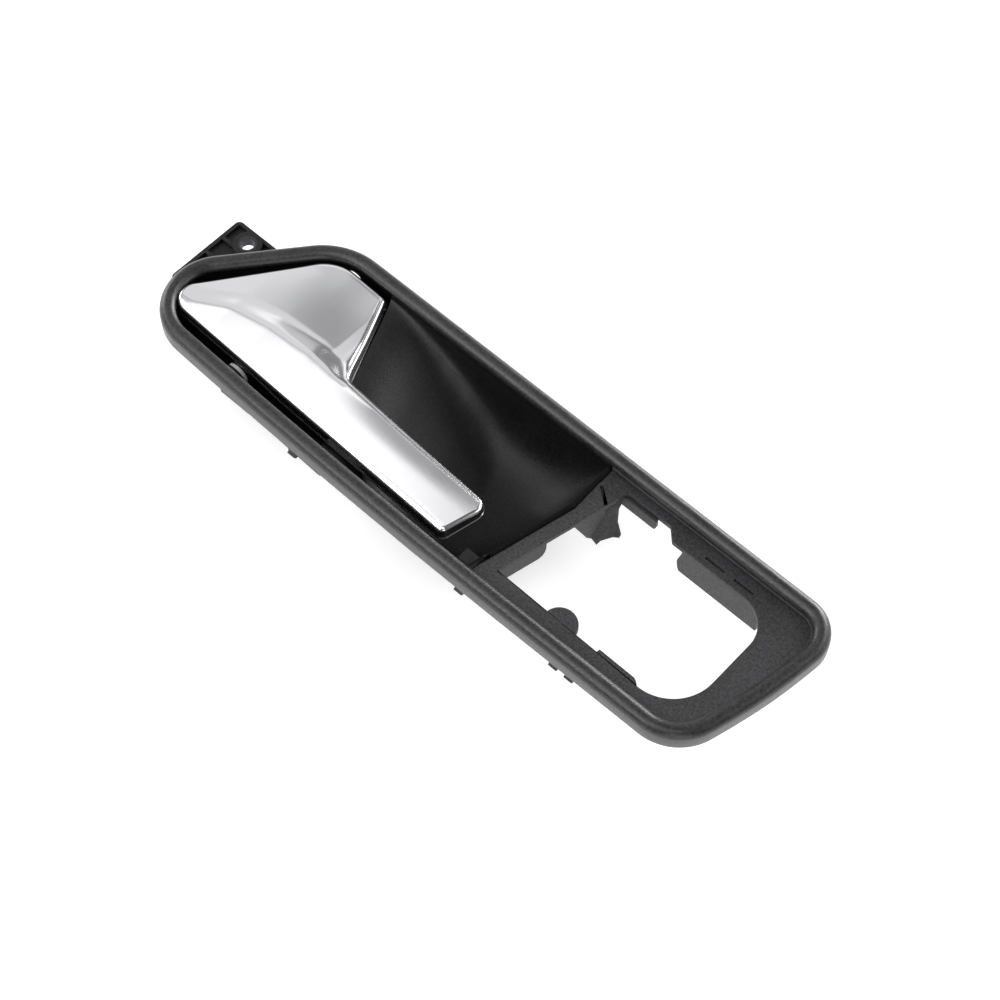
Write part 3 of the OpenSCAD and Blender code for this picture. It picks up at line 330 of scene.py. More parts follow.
# %% Mesh makers
def add_piece(name, points, faces, body, material, round_angle=40.0):
    mesh = bpy.data.meshes.new(name)
    mesh.from_pydata([tuple(float(v) * MM for v in p) for p in points], [], faces)
    mesh.validate()
    piece = bpy.data.objects.new(name, mesh)
    bpy.context.scene.collection.objects.link(piece)
    return settle(piece, body, material, round_angle)


def settle(piece, body, material, round_angle=40.0):
    """Shades a piece, gives it its finish and fixes it to its body."""
    mesh = piece.data
    mesh.materials.clear()
    mesh.materials.append(material)
    mesh.update()
    mesh.polygons.foreach_set("use_smooth", [True] * len(mesh.polygons))
    mesh.set_sharp_from_angle(angle=math.radians(round_angle))
    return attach(piece, body)


def grid_faces(rows, columns, close_rows=False, close_columns=False):
    """Faces between rows of points. A closed grid joins its last row or column to its first."""
    faces = []
    for i in range(rows if close_rows else rows - 1):
        for j in range(columns if close_columns else columns - 1):
            row, next_row, next_j = i * columns, ((i + 1) % rows) * columns, (j + 1) % columns
            faces.append((row + j, row + next_j, next_row + next_j, next_row + j))
    return faces


print("a grid of 3 by 4 points has", len(grid_faces(3, 4)), "faces")

# %% [markdown]
# The second kind is a plate: a flat outline with holes. Blender's 2D curve fills it and rounds its edges, which is
# far easier than cutting holes in a mesh. The curve becomes a mesh at once, so that the piece can be exported and
# checked, and its own three axes stand it upright where it is a wall.

# %% Flat plates
PLATE_ANGLE = 50.0


def plate(name, outlines, z_low, z_high, edge, body, material, frame_axes=None):
    """A flat plate with holes and round edges. frame_axes places it: origin, then its x, y and z axes."""
    curve = bpy.data.curves.new(name, "CURVE")
    curve.dimensions = "2D"
    curve.fill_mode = "BOTH"
    curve.extrude = ((z_high - z_low) / 2 - edge) * MM
    curve.bevel_depth = edge * MM
    curve.bevel_resolution = 2
    curve.offset = -edge * MM
    for outline in outlines:
        spline = curve.splines.new("POLY")
        spline.points.add(len(outline) - 1)
        for point, (x, y) in zip(spline.points, outline):
            point.co = (x * MM, y * MM, 0.0, 1.0)
        spline.use_cyclic_u = True
    shape = bpy.data.objects.new(name, curve)
    bpy.context.scene.collection.objects.link(shape)
    bpy.context.view_layer.update()
    mesh = bpy.data.meshes.new_from_object(shape.evaluated_get(bpy.context.evaluated_depsgraph_get()))
    bpy.data.objects.remove(shape)
    bpy.data.curves.remove(curve)
    mesh.name = name
    origin, x_axis, y_axis, z_axis = frame_axes or ((0, 0, 0), (1, 0, 0), (0, 1, 0), (0, 0, 1))
    lift = (z_low + z_high) / 2
    if np.dot(np.cross(x_axis, y_axis), z_axis) < 0:
        mesh.flip_normals()
    place = Matrix.Identity(4)
    for k, axis in enumerate((x_axis, y_axis, z_axis)):
        for row in range(3):
            place[row][k] = axis[row]
    for row in range(3):
        place[row][3] = (origin[row] + z_axis[row] * lift) * MM
    mesh.transform(place)
    piece = bpy.data.objects.new(name, mesh)
    bpy.context.scene.collection.objects.link(piece)
    return settle(piece, body, material, PLATE_ANGLE)


def merged(name, pieces, body, material):
    """Several pieces of one moulding as one mesh."""
    whole = bmesh.new()
    for piece in pieces:
        whole.from_mesh(piece.data)
        old = piece.data
        bpy.data.objects.remove(piece)
        bpy.data.meshes.remove(old)
    mesh = bpy.data.meshes.new(name)
    whole.to_mesh(mesh)
    whole.free()
    joined = bpy.data.objects.new(name, mesh)
    bpy.context.scene.collection.objects.link(joined)
    return settle(joined, body, material, PLATE_ANGLE)


print("plates shade smooth up to", PLATE_ANGLE, "degrees")

# %% [markdown]
# The rim is one section run round the outline. Its bead is round outside and drops to a thin lip inside, and the
# small radius where the lip ends catches the thin bright line that the photograph shows all round the opening.

# %% Bezel rim
RIM_W, RIM_H, BEAD_R, RIM_WALL, LIP_Z = 5.9, 8.5, 3.1, 1.9, 4.9


def arc(cu, cz, r, a0, a1, n):
    return [(cu + r * math.cos(math.radians(a0 + (a1 - a0) * k / n)),
             cz + r * math.sin(math.radians(a0 + (a1 - a0) * k / n))) for k in range(n + 1)]


bead_z = RIM_H - BEAD_R
bead_end = math.degrees(math.acos((RIM_W - BEAD_R) / BEAD_R))
rim_section = (
    arc(0.3, 0.3, 0.3, 270, 180, 3)
    + arc(BEAD_R, bead_z, BEAD_R, 180, bead_end + 6, 22)
    + arc(RIM_W - 0.35, bead_z + 0.92, 0.35, 40, 0, 4)
    + arc(RIM_W - 0.3, LIP_Z + 0.3, 0.3, 0, -90, 3)
    + [(RIM_W - RIM_WALL, LIP_Z), (RIM_W - RIM_WALL, bead_z + 0.8)]
    + arc(BEAD_R, bead_z, BEAD_R - RIM_WALL, 42, 180, 6)
    + [(RIM_WALL, 0.0)]
)
ring = places(BEZEL, 2.5)
rim_points = [(x + (r - u) * math.cos(a), y + (r - u) * math.sin(a), z)
              for x, y, a, r in ring for u, z in rim_section]
rim = add_piece("bezel_rim", rim_points, grid_faces(len(ring), len(rim_section), True, True), "housing",
                soft_touch)
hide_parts("bezel_frame")
print("rim", len(rim.data.polygons), "faces")

# %% [markdown]
# The switch frame is a flat ledge inside the rim. The crossbar belongs to the same ledge and leans as the bowl's end
# leans, so the ledge's outer outline is the bezel's own, moved inwards and cut off along the bar.

# %% Ledge outline
SWITCH_LEN, BAR_SLOPE, BAR_W, BEND_Y, BAR_LIP = 100.2, 0.24, 6.6, 9.5, 1.2
LEDGE_Z, LEDGE_T, GAP = 3.6, 2.2, 0.3
RING_OUT, RING_IN, RING_TOP = 4.2, 6.5, 5.4
BAR_FOOT = RIGHT_TOP_X - SWITCH_LEN
INNER_TOP = TOP_Y - RIM_W
RIGHT_INNER = RIGHT_TOP_X + 2.8 - RIGHT_LEAN / 2 - RIM_W
LOW = low_y(RIGHT_TOP_X / 2) + RIM_W + 5.6
HIGH = INNER_TOP - 7.4
STEP_X = BAR_FOOT + 35.5


def bar_x(y):
    """Left edge of the crossbar: it leans below the bend and stands nearly upright above it."""
    y = np.asarray(y, float)
    return BAR_FOOT + np.where(y < BEND_Y, y * BAR_SLOPE, BEND_Y * BAR_SLOPE - (y - BEND_Y) * 0.03)


def right_run(inset_by):
    """The inset outline from the crossbar's lower end, round the right end, to its upper end."""
    line = dense(rounded(inset(BEZEL, inset_by)))
    edge = bar_x(line[:, 1]) + BAR_LIP + GAP
    keep = line[:, 0] > edge
    first = int(np.argmax(keep & ~np.roll(keep, 1)))
    run = np.roll(line, -first, axis=0)[np.roll(keep, -first)]
    for k in (0, -1):
        run[k, 0] = bar_x(run[k, 1]) + BAR_LIP + GAP
    return run


def turned(x, y, length, width, angle=0.0):
    """Corners of a rectangle that starts at (x, y)."""
    c, n = math.cos(math.radians(angle)), math.sin(math.radians(angle))
    return [(x + a * c - b * n, y + a * n + b * c) for a, b in ((0, 0), (length, 0), (length, width), (0, width))]


outer_run = right_run(RING_OUT)
bar_ys = np.linspace(outer_run[-1][1], outer_run[0][1], 40)[1:-1]
ledge_out = np.vstack([outer_run, np.column_stack([bar_x(bar_ys) + BAR_LIP + GAP, bar_ys])])
print("ledge outline has", len(ledge_out), "points")

# %% [markdown]
# The opening has a round tab and a strip on its lower side and a step on its upper side, so these are points of the
# one outline. The ledge is made in two layers, so that its slots and its groove can be real recesses: only the upper
# layer has them as holes. No two outlines of a plate may cross, because the fill would then leave a gap.

# %% Opening and ledge
body_of_opening = rounded([
    (BAR_FOOT + LOW * BAR_SLOPE + BAR_W, LOW, 0.5), (RIGHT_INNER - 11.8, LOW, 17.0), (RIGHT_INNER - 11.8, HIGH, 12.0),
    (STEP_X, HIGH, 0.8), (STEP_X - 4, HIGH + 4, 0.8), (BAR_FOOT + (HIGH + 4) * BAR_SLOPE + BAR_W, HIGH + 4, 2.0),
], 5.0)
tab_x, tab_r, strip_x = BAR_FOOT + 28.7, 6.2, BAR_FOOT + 43.8
TAB_SINK = 0.4
dip = math.degrees(math.asin(TAB_SINK / tab_r))
tab = [(tab_x + tab_r * math.cos(math.radians(a)), LOW - TAB_SINK + tab_r * math.sin(math.radians(a)))
       for a in np.linspace(180 - dip, dip, 36)]
strip = [(strip_x, LOW), (strip_x + 0.3, LOW + 1.7), (strip_x + 15.0, LOW + 1.7), (strip_x + 16.2, LOW + 1.1),
         (strip_x + 17.5, LOW)]
first_arc = [p for p in body_of_opening if p[0] < tab_x and p[1] < LOW + 0.6]
rest = [p for p in body_of_opening if not (p[0] < tab_x and p[1] < LOW + 0.6)]
opening = np.array(first_arc + tab + strip + rest)
recesses = [turned(STEP_X + 12 + 12 * k, HIGH + 2.4, 8.0, 0.9) for k in (0, 1)]
recesses.append(turned(float(bar_x(22.2)) + 2.2, 21.5, 7.4, 1.0, -37))
ledge_low = plate("ledge_low", [ledge_out, opening], LEDGE_Z - LEDGE_T, LEDGE_Z - 1.0, 0.1, "housing",
                  ledge_finish)
ledge_top = plate("ledge_top", [ledge_out, opening, *recesses], LEDGE_Z - 1.02, LEDGE_Z, 0.22, "housing",
                  ledge_finish)
band_run = right_run(RING_IN)
band = plate("band", [np.vstack([outer_run, band_run[::-1]])], LEDGE_Z - 0.3, RING_TOP, 0.28, "housing",
             ledge_finish)
frame_parts = [ledge_low, ledge_top, band]
print("ledge opening", opening.min(0).round(1), opening.max(0).round(1))

# %% [markdown]
# Upright walls hang from the ledge. They guide the switch panel and carry its latches, and the photograph looks past
# the ledge's edge onto them. Each one is a flat outline, extruded and stood upright by its own three axes.

# %% Upright walls
WALL_TOP, RIB_T = LEDGE_Z - LEDGE_T + 0.5, 1.5
ledge_rear = LEDGE_Z - LEDGE_T
lean = math.atan(BAR_SLOPE)
along_bar = (math.sin(lean), math.cos(lean), 0)
across_bar = (math.cos(lean), -math.sin(lean), 0)
UP, RIGHTWARD, DOWNWARD = (0, 0, 1), (1, 0, 0), (0, -1, 0)


def wall(name, outline, origin, x_axis, z_axis, thick=RIB_T, edge=0.25):
    frame_parts.append(plate(name, [outline], 0.0, thick, edge, "housing", ledge_finish,
                             (origin, x_axis, UP, z_axis)))


wall_foot = np.array([BAR_FOOT + LOW * BAR_SLOPE + BAR_W - RIB_T, LOW, 0]) - 0.5 * np.array(along_bar) - [0, 0, 6]
wall("bar_wall", [(0, 0), (18, 0), (19.6, 0.9), (20.5, 2.5), (20.9, 4.2), (21, 6), (21, 6 + WALL_TOP),
                  (0, 6 + WALL_TOP)], wall_foot, along_bar, across_bar)
wall("short_wall", [(0, 0), (14.2, 0), (15.1, 0.5), (15.4, 1.5), (15.4, 5.5), (0, 5.5)],
     (BAR_FOOT + 11, HIGH + 4, ledge_rear - 5), RIGHTWARD, DOWNWARD)
long_x, long_z, long_h = STEP_X + 3.5, WALL_TOP - 14.0, 14.0
wall("long_wall", [(0.3, 0), (33.2, 0), (33.5, 0.3), (33.5, long_h), (1, long_h), (0.4, 11), (-0.6, 7.2), (-0.9, 5.5),
                   (-0.5, 2.5)], (long_x, HIGH + RIB_T, long_z), RIGHTWARD, DOWNWARD)
print("walls", len(frame_parts) - 3)

# %% [markdown]
# Below the crossbar's upper end hangs a small lug that was folded in the mould from three thin webs. Their corners
# don't lie in one plane, so each web is built from its corner points and its thickness, and its edges are bevelled.

# %% Folded lug
def folded(name, corners, thick):
    """A plate whose corners don't lie in one plane, with its edges softened."""
    face = np.array(corners) + [BAR_FOOT + BAR_W, 0, 0]
    n = len(face)
    mesh = bmesh.new()
    verts = [mesh.verts.new(tuple(v * MM)) for v in np.vstack([face, face + thick])]
    for k in range(1, n - 1):
        mesh.faces.new((verts[0], verts[k + 1], verts[k]))
        mesh.faces.new((verts[n], verts[n + k], verts[n + k + 1]))
    for k in range(n):
        m = (k + 1) % n
        mesh.faces.new((verts[k], verts[m], verts[n + m], verts[n + k]))
    sharp = [e for e in mesh.edges if e.calc_face_angle(0.0) > math.radians(25)]
    bmesh.ops.bevel(mesh, geom=sharp, offset=0.18 * MM, segments=2, affect="EDGES")
    shape = bpy.data.meshes.new(name)
    mesh.to_mesh(shape)
    mesh.free()
    piece = bpy.data.objects.new(name, shape)
    bpy.context.scene.collection.objects.link(piece)
    frame_parts.append(piece)


folded("lug_web", [(0.9, 4.6, 2.2), (3.9, 17, 2.2), (4, 17, -4), (3, 12.6, -14.3), (2.2, 10.3, -11.5)],
       (-1.3, 0.3, 0))
folded("lug_slope", [(3.8, 17.6, -2.4), (8.5, 16.9, -12), (5.3, 14.2, -15), (4.9, 12.6, -16.2), (2.9, 12.4, -14.4)],
       (-0.5, 1.1, -0.4))
folded("lug_strip", [(3.8, 16.9, -3), (2.4, 18.2, 2.2), (6.4, 23.2, 2.2), (5.9, 21.2, -4), (7.4, 19.2, -8),
                     (10, 18.2, -12.4), (8.2, 16.5, -12)], (-0.2, 1.2, 0.5))
print("lug webs", [piece.name for piece in frame_parts[-3:]])

# %% [markdown]
# Snap hooks hang under the lower rim and show below it in the photograph. Catches reach inwards from both long sides
# and hold the carrier, and two hollow bosses take the screws. They all belong to the bezel's one moulding, so they
# are merged with the ledge in the end.

# %% Hooks, catches and screw bosses
BLOCK_EDGE, HOOK_W = 0.2, 3.4


def block(name, low_corner, size):
    x, y, z = low_corner
    w, d, h = size
    outline = [(x, y), (x + w, y), (x + w, y + d), (x, y + d)]
    frame_parts.append(plate(name, [outline], z, z + h, BLOCK_EDGE, "housing", ledge_finish))


HEAD_RIGHT = LEFT_TOP_X + 26.1
for k, x in enumerate((HEAD_RIGHT + 17, BAR_FOOT - 6, BAR_FOOT + 35, BAR_FOOT + 41.6)):
    y = low_y(x) + 1.2
    hook_corner = (x - HOOK_W / 2, y, -4.8)
    block("hook_%d" % k, hook_corner, (HOOK_W, 1.3, 5.8))
    wall("hook_tip_%d" % k, [(0.1, 0), (-0.7, 1.2), (0.1, 2)], hook_corner, (0, 1, 0), RIGHTWARD, HOOK_W, 0.05)
for k, x in enumerate((HEAD_RIGHT + 7.5, BAR_FOOT - 31)):
    block("catch_high_%d" % k, (x - 4, TOP_Y - RIM_WALL - 1.3, 1.0), (8, 2.2, 1.4))
    block("catch_low_%d" % k, (x - 4, low_y(x) + RIM_WALL - 0.5, 1.0), (8, 2.2, 1.4))
circle = [(math.cos(a), math.sin(a)) for a in np.linspace(0, 2 * math.pi, 40, endpoint=False)]
for k, (x, y) in enumerate(((BAR_FOOT - 1, LOW - 4.2), (BAR_FOOT + 17, HIGH + 7.4))):
    ring_of = [[(x + r * c, y + r * n) for c, n in circle] for r in (2.3, 1.25)]
    frame_parts.append(plate("boss_%d" % k, ring_of, -1.5, ledge_rear + 0.5, 0.2, "housing", ledge_finish))
switch_frame = merged("switch_frame", frame_parts, "housing", ledge_finish)
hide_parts("bezel_frame")
print("switch frame", len(switch_frame.data.polygons), "faces")

# %% [markdown]
# The lever is one chrome-plated skin: a flat blade that the fingers pull and a head that is dished like a thumb
# rest. It is made of rows of points that run from its lower edge to its upper edge, so its outline is first cut in
# two chains with equally many stations. Each station keeps the direction that points straight out of the edge.

# %% Lever outline
PIVOT_X = LEFT_TOP_X + 6.0
REACH, ROOT_W, TIP_W = 104.8, 19.6, 18.5
LEVER_Z, LEVER_REAR, DISH = 7.5, 1.3, 3.1
EDGE_R = 1.5
TIP_X = PIVOT_X + REACH
HEAD_SLOPE = 0.404
LEVER_TOP = INNER_TOP - 2.0
blade_gap = 3.8
lever_low_x = left_x(-24) + 14.4
lever_low_y = low_y(lever_low_x) + RIM_W + blade_gap + 0.4
tip_low_x = TIP_X - 5.3
tip_low_y = low_y(tip_low_x) + RIM_W + blade_gap - 0.4
tip_top_y = tip_low_y + TIP_W
head_right = HEAD_RIGHT
root_x = head_right + (LEVER_TOP - tip_top_y - ROOT_W + TIP_W) * HEAD_SLOPE
root_y = low_y(root_x) + RIM_W + blade_gap + ROOT_W + 1.8
LEVER = [
    (lever_low_x, lever_low_y, 7.0), (tip_low_x, tip_low_y, 3.0), (TIP_X, tip_top_y, 4.5),
    (root_x, root_y, 5.0), (head_right, LEVER_TOP, 2.5), (left_x(LEVER_TOP) + 8, LEVER_TOP, 16.0),
]
CREASE = [(-130, -22), (-117, -20.5), (-105, -12.8), (-89.3, -9), (-71.2, -7.5), (-53, -8.9), (-28, -7.7)]


def arc_run(i, t0, t1, n):
    """Stations on the round of corner i, from share t0 of its turn to share t1: x, y and the way out."""
    centre, a0, turn, r = corner(LEVER, i)
    out = 1 if turn > 0 else -1
    run = []
    for k in range(n + 1):
        a = a0 + turn * (t0 + (t1 - t0) * k / n)
        run.append((centre[0] + r * math.cos(a), centre[1] + r * math.sin(a), out * math.cos(a), out * math.sin(a)))
    return run


def chain(runs, between):
    """The runs one after the other, with straight stretches of the given numbers of steps between them."""
    points = list(runs[0])
    for run, n in zip(runs[1:], between):
        p, q = np.array(points[-1]), np.array(run[0])
        points += [tuple(p + (q - p) * k / n) for k in range(1, n)] + list(run)
    return np.array(points)


upper = chain([arc_run(0, 0.49, 0, 10), arc_run(5, 1, 0, 12), arc_run(4, 1, 0, 12), arc_run(3, 1, 0, 12),
               arc_run(2, 1, 0, 12)], [20, 12, 22, 40])
low_first, low_last = arc_run(0, 0.51, 1, 10), arc_run(1, 0, 1, 12)
xs = upper[11:len(upper) - 13, 0]
share = (xs - upper[10, 0]) / (upper[len(upper) - 13, 0] - upper[10, 0])
middle = np.array(low_first[-1]) + np.outer(share * 0.985 + 0.004, np.array(low_last[0]) - np.array(low_first[-1]))
lower = np.vstack([low_first, middle, low_last])
print("lever stations", len(upper), len(lower))

# %% [markdown]
# A mirror shows every slope of its face, so the height is built from named parts. The face rolls over the crease into
# the head's dish, the head's right edge turns up a little, and the blade leans by half a millimetre and falls off
# towards the tip's upper side. That lean makes the blade mirror the bright key light while the dish stays grey. The
# rear edge is higher behind the head, where the lever swings past the carrier.

# %% Lever face
BLADE_LEAN, TIP_CROWN, TURN_UP, BEVEL_DROP, HEAD_REAR_LIFT = 0.05, 0.5, 0.5, 0.9, 1.7


def crease_y(x):
    table = np.array(CREASE)
    return np.interp(x, table[:, 0], table[:, 1])


def blade_top(x):
    return root_y + (tip_top_y - root_y) * np.clip((x - root_x) / (TIP_X - root_x), 0, 1)


def face_z(x, y):
    """Height of the lever's face. Left of the root it is the head, and right of it the blade."""
    c = crease_y(x)
    dish = DISH * (0.12 + 0.88 * np.clip((x + 128) / 56, 0, 1.07) ** 1.5)
    head = 1 - smooth((x - root_x + 9) / 12)
    roll = smooth((y - c + 2.0) / (3.5 + 6.5 * head))
    right = smooth((x + 112) / 30)
    hollow = 0.5 * np.sin(np.pi * np.clip((y - c) / 36, 0, 1)) * right + 0.045 * np.clip(y - c, 0, 30) * (1 - right)
    edge_x = head_right + (LEVER_TOP - y) * HEAD_SLOPE
    turn_up = smooth(1 - (edge_x - x) / 2.6) * smooth((y - root_y) / 8) * TURN_UP
    bevel = BEVEL_DROP * smooth((y - blade_top(x) + 2.6) / 2.2)
    tilt = BLADE_LEAN * (np.minimum(y, c) - c + 9)
    crown = TIP_CROWN * np.clip((y - c + 11) / 9, 0, 1) ** 2 * smooth((x + 62) / 45)
    return LEVER_Z + tilt - crown - head * (dish * roll + hollow - turn_up) - (1 - head) * bevel


def rear_z(x, y):
    """Height of the skin's rear edge. It rises towards the upper corner of the tip and behind the head."""
    x0, x1, y0 = tip_low_x - 22, TIP_X + 2, tip_low_y - 2
    along, up = (x - x0) / (x1 - x0), (y - y0) / (TIP_W + 4)
    tip_lift = max(0.0, min(along + 2.4 * up, up + 2.4 * along) - 1)
    return LEVER_REAR + tip_lift + HEAD_REAR_LIFT * (1 - smooth((x + 80) / 12))


print("face height at the blade's middle", round(float(face_z(-30.0, -17.0)), 2))

# %% [markdown]
# Each row starts at the rear edge with a small rounded lip, climbs the side wall, bends over the edge, crosses the
# face and comes down the same way. The points lie closer together where the face rolls over the crease. The lower
# edge bends with a larger radius than the upper one, because the photograph shows it bright down to the gap.

# %% Lever skin
LIP = ((0.38, 0.0), (0.42, 0.3), (0.3, 0.6), (0.06, 0.72), (0.0, 1.0))
LOW_ROWS, ROLL_ROWS, HIGH_ROWS, RINGS = 12, 18, 24, 8
FOOT = len(LIP) - 1


def foot(a):
    """The lip at the rear edge of the side wall: how far out and how far up from the edge, point by point."""
    z = rear_z(*a[:2])
    return [(*(a[:2] + out * a[2:]), z + up) for out, up in LIP]


lever_points = []
for k, (a, b) in enumerate(zip(lower, upper)):
    low_r = EDGE_R + 1.1 * smooth(k / 14) * smooth((len(lower) - 1 - k) / 18)
    p, q = a[:2] - low_r * a[2:], b[:2] - EDGE_R * b[2:]
    h = max(0.5, q[1] - p[1])
    c = crease_y((p[0] + q[0]) / 2)
    roll_from = min(0.95, max(0.3, (min(c - 2.0, q[1] - 1.5) - p[1]) / h))
    roll_to = min(roll_from + 10.0 / h, roll_from + (1 - roll_from) * 0.7)
    t = np.concatenate([np.linspace(0, roll_from, LOW_ROWS, endpoint=False),
                        np.linspace(roll_from, roll_to, ROLL_ROWS, endpoint=False),
                        np.linspace(roll_to, 1, HIGH_ROWS + 1)])
    row = p + np.outer(t, q - p)
    top = np.column_stack([row, face_z(row[:, 0], row[:, 1])])
    bend = np.linspace(0, math.pi / 2, RINGS, endpoint=False)
    across, drop = 1 - np.cos(bend)[:, None], 1 - np.sin(bend)
    low_edge = np.column_stack([a[:2] - low_r * across * a[2:], top[0, 2] - low_r * drop])
    high_edge = np.column_stack([b[:2] - EDGE_R * across * b[2:], top[-1, 2] - EDGE_R * drop])
    lever_points += [*foot(a), *low_edge, *top, *high_edge[::-1], *foot(b)[::-1]]
w = len(lever_points) // len(upper)
n = len(upper)
lever_faces = [f[::-1] for f in grid_faces(n, w)]
first_row, last_row = list(range(w)), list(range((n - 1) * w, n * w))
for end, row in ((1, first_row), (-1, last_row)):
    for j in range(RINGS + FOOT):
        quad = (row[j], row[-1 - j], row[-2 - j], row[j + 1])
        lever_faces.append(quad[::-1] if end == 1 else quad)
    cap = row[RINGS + FOOT:w - RINGS - FOOT]
    lever_faces.append(tuple(cap[::-1] if end == 1 else cap))
lever_faces.append(tuple([k * w for k in range(n)] + [k * w + w - 1 for k in range(n - 1, -1, -1)]))
skin = add_piece("lever_skin", lever_points, lever_faces, "lever", chrome_finish, 60.0)
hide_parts("pull_lever")
print("lever", len(skin.data.polygons), "faces")

# %% [markdown]
# The finger bowl is part of the carrier behind the bezel. Its section is a softened rectangle that deepens from the
# lip beside the lever's head and rises again at the crossbar. The CAD wall is made of few flat faces, which a glossy
# black would show, so a lining of many small ones lies a quarter of a millimetre inside it.

# %% Finger bowl
BOWL_DEPTH, BOWL_EDGE, POWER = 29.0, LIP_Z - 0.3, 3.4
LINING = 0.25


def lip_x(y):
    return head_right + 1.3 + (LEVER_TOP - y) * HEAD_SLOPE


def bowl_fall(s, t):
    """Depth of the bowl at share s of its length and share t of its height."""
    crease = 0.36 + 0.12 * (1 - t)
    ramp = 0.6 * smooth(s / crease)
    deep = 0.4 * smooth((s - crease + 0.08) / 0.3)
    rise = (1 - np.clip((s - 0.62) / 0.38, 0, 1) ** 2.6) ** 0.5
    return BOWL_DEPTH * (ramp + deep) * rise


def bowl_point(s, angle, grow):
    """Point of the bowl's section at share s. The angle runs from the upper edge round to the lower one."""
    c = math.copysign(abs(math.cos(angle)) ** (2 / POWER), math.cos(angle))
    n = abs(math.sin(angle)) ** (2 / POWER)
    t = (c + 1) / 2
    mid_x = lip_x(0) + (bar_x(0) - lip_x(0)) * s
    y_low, y_high = low_y(mid_x) + RIM_W + 0.9 - grow, INNER_TOP - 0.2 + grow
    y = y_low + (y_high - y_low) * t
    x = lip_x(y) + (bar_x(y) - lip_x(y)) * s
    lip = (BOWL_EDGE - (-1.5 + 2.7 * smooth((y + 13) / 6))) * (1 - smooth(s / 0.25))
    return x, y, BOWL_EDGE - (bowl_fall(s, t) + lip + grow) * n


rows, cols = 110, 80
lining_points = [bowl_point(0.5 - 0.5 * math.cos(math.pi * k / rows), math.pi * j / cols, -LINING)
                 for k in range(rows + 1) for j in range(cols + 1)]
lining = add_piece("bowl_lining", lining_points, grid_faces(rows + 1, cols + 1), "housing", bowl_finish,
                   80.0)
print("bowl", len(lining.data.polygons), "faces")

# %% [markdown]
# The CAD nodes whose shapes are right stay as they are and only get their finish. Each one takes the material that
# its slot in the record names, except the pin, its clip and the sleeve. These sit in dark gaps, so they get painted
# shade: a near-black steel colour that keeps them as dark as the shade in the gaps.

# %% Finishes of the CAD nodes
BY_SLOT = {
    "soft_touch_plastic": soft_touch, "grained_plastic": bowl_finish, "satin_chrome": chrome_finish,
    "black_nylon": nylon_finish, "zinc_steel": zinc_finish, "white_acetal": acetal_finish,
    "spring_steel": spring_finish, "black_rubber": rubber_finish,
}
# Painted shade: these three parts get the near-black steel in place of their slot's finish, so they look as dark as
# the gaps they sit in.
IN_GAP_SHADE = ("pivot_pin", "pin_clip", "bracket_sleeve")
for entry in frame["record"]["subparts"]:
    node = frame["nodes"][entry["node"]]
    node.data.materials.clear()
    node.data.materials.append(gap_shade_finish if entry["node"] in IN_GAP_SHADE else BY_SLOT[entry["material_slot"]])

# %% [markdown]
# The stage is a product table: a pale floor that glows a little, as a light table does, and a tent of round soft
# boxes round the part. A glossy black rim and a chrome lever show little but what they mirror, so each box has its
# own brightness, fitted so that the white blade and the grey dish come out as photographed.

# %% Floor
FLOOR_GLOW = 0.4
floor_mesh = bpy.data.meshes.new("floor")
FLOOR_Z, HALF = float(cad_low[2]) - 0.0005, 6.0
floor_corners = [(x, y, FLOOR_Z) for x, y in ((-HALF, -HALF), (HALF, -HALF), (HALF, HALF), (-HALF, HALF))]
floor_mesh.from_pydata(floor_corners, [], [(0, 1, 2, 3)])
floor = bpy.data.objects.new("floor", floor_mesh)
bpy.context.scene.collection.objects.link(floor)
floor_finish, _, floor_shader = finish_of("pale_floor", (0.80, 0.80, 0.80), 0.9, specular=0.1)
floor_shader.inputs["Emission Color"].default_value = (1.0, 1.0, 1.0, 1.0)
floor_shader.inputs["Emission Strength"].default_value = FLOOR_GLOW
floor_mesh.materials.append(floor_finish)
print("floor at", round(FLOOR_Z * 1000, 1), "mm")

# %% [markdown]
# Each soft box is a round lamp that looks at the part. A wide one gives an even glow, and a narrow one gives the
# lever's face an edge between white and grey. The surround adds a faint light from everywhere, so that no side of
# the part is lost in the dark.

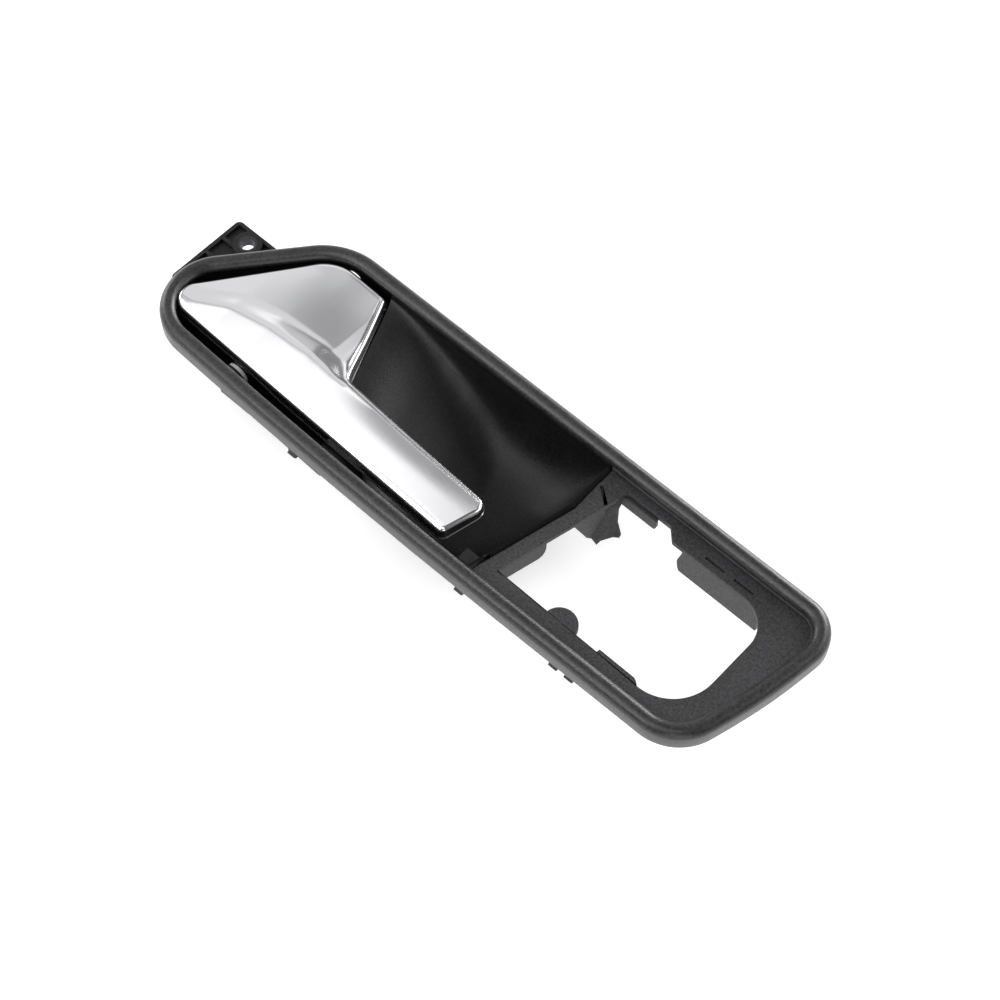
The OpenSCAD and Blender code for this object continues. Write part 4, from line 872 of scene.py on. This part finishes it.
# %% Soft boxes
TENT_RADIUS, SURROUND = 1.6, 0.127
world = bpy.data.worlds.new("studio")
bpy.context.scene.world = world
world.use_nodes = True
world.node_tree.nodes["Background"].inputs["Color"].default_value = (1.0, 1.0, 1.0, 1.0)
world.node_tree.nodes["Background"].inputs["Strength"].default_value = SURROUND


def soft_light(name, direction, distance, size, brightness):
    """A round soft box. Its brightness is the radiance of its face, so it doesn't change with size or distance."""
    lamp = bpy.data.lights.new(name, "AREA")
    lamp.shape, lamp.size = "DISK", size
    lamp.energy = brightness * math.pi * math.pi * (size / 2) ** 2
    light = bpy.data.objects.new(name, lamp)
    light.location = LOOK_AT + Vector(direction).normalized() * distance
    light.rotation_mode = "QUATERNION"
    light.rotation_quaternion = Vector(direction).to_track_quat("Z", "Y")
    bpy.context.scene.collection.objects.link(light)


# Each soft box: name, azimuth and height in degrees, width in metres, brightness
TENT = [
    ("low_east", 45, 14, 0.9, 1.2), ("low_back", 90, 14, 0.9, 13.4), ("low_back_left", 135, 14, 0.9, 0.5),
    ("low_left", 180, 14, 0.9, 4.6), ("low_front_left", 225, 14, 0.9, 1.0), ("low_front_right", 315, 14, 0.9, 2.2),
    ("mid_right", 22, 38, 0.9, 1.4), ("mid_back", 67, 38, 0.9, 3.0), ("mid_back_left", 135, 38, 0.9, 0.6),
    ("mid_left", 202, 38, 0.9, 1.6), ("mid_front", 247, 38, 0.9, 5.1), ("high_front", 288, 64, 0.8, 3.3),
    ("high_left", 216, 64, 0.8, 1.3), ("blade_key", 159, 62, 0.4, 1.3), ("blade_edge", 147, 53, 0.36, 0.2),
    ("tip_key", 150, 57, 0.26, 0.1), ("head_key", 172, 56, 0.3, 2.4), ("dish_fill", 130, 66, 0.26, 1.2),
    ("dish_edge", 122, 58, 0.26, 0.2),
]
for name, azimuth, height, width, brightness in TENT:
    a, e = math.radians(azimuth), math.radians(height)
    direction = (math.cos(e) * math.cos(a), math.cos(e) * math.sin(a), math.sin(e))
    soft_light(name, direction, TENT_RADIUS, width, brightness)
bpy.context.scene.view_settings.view_transform = "Standard"
print("soft boxes", len(TENT))
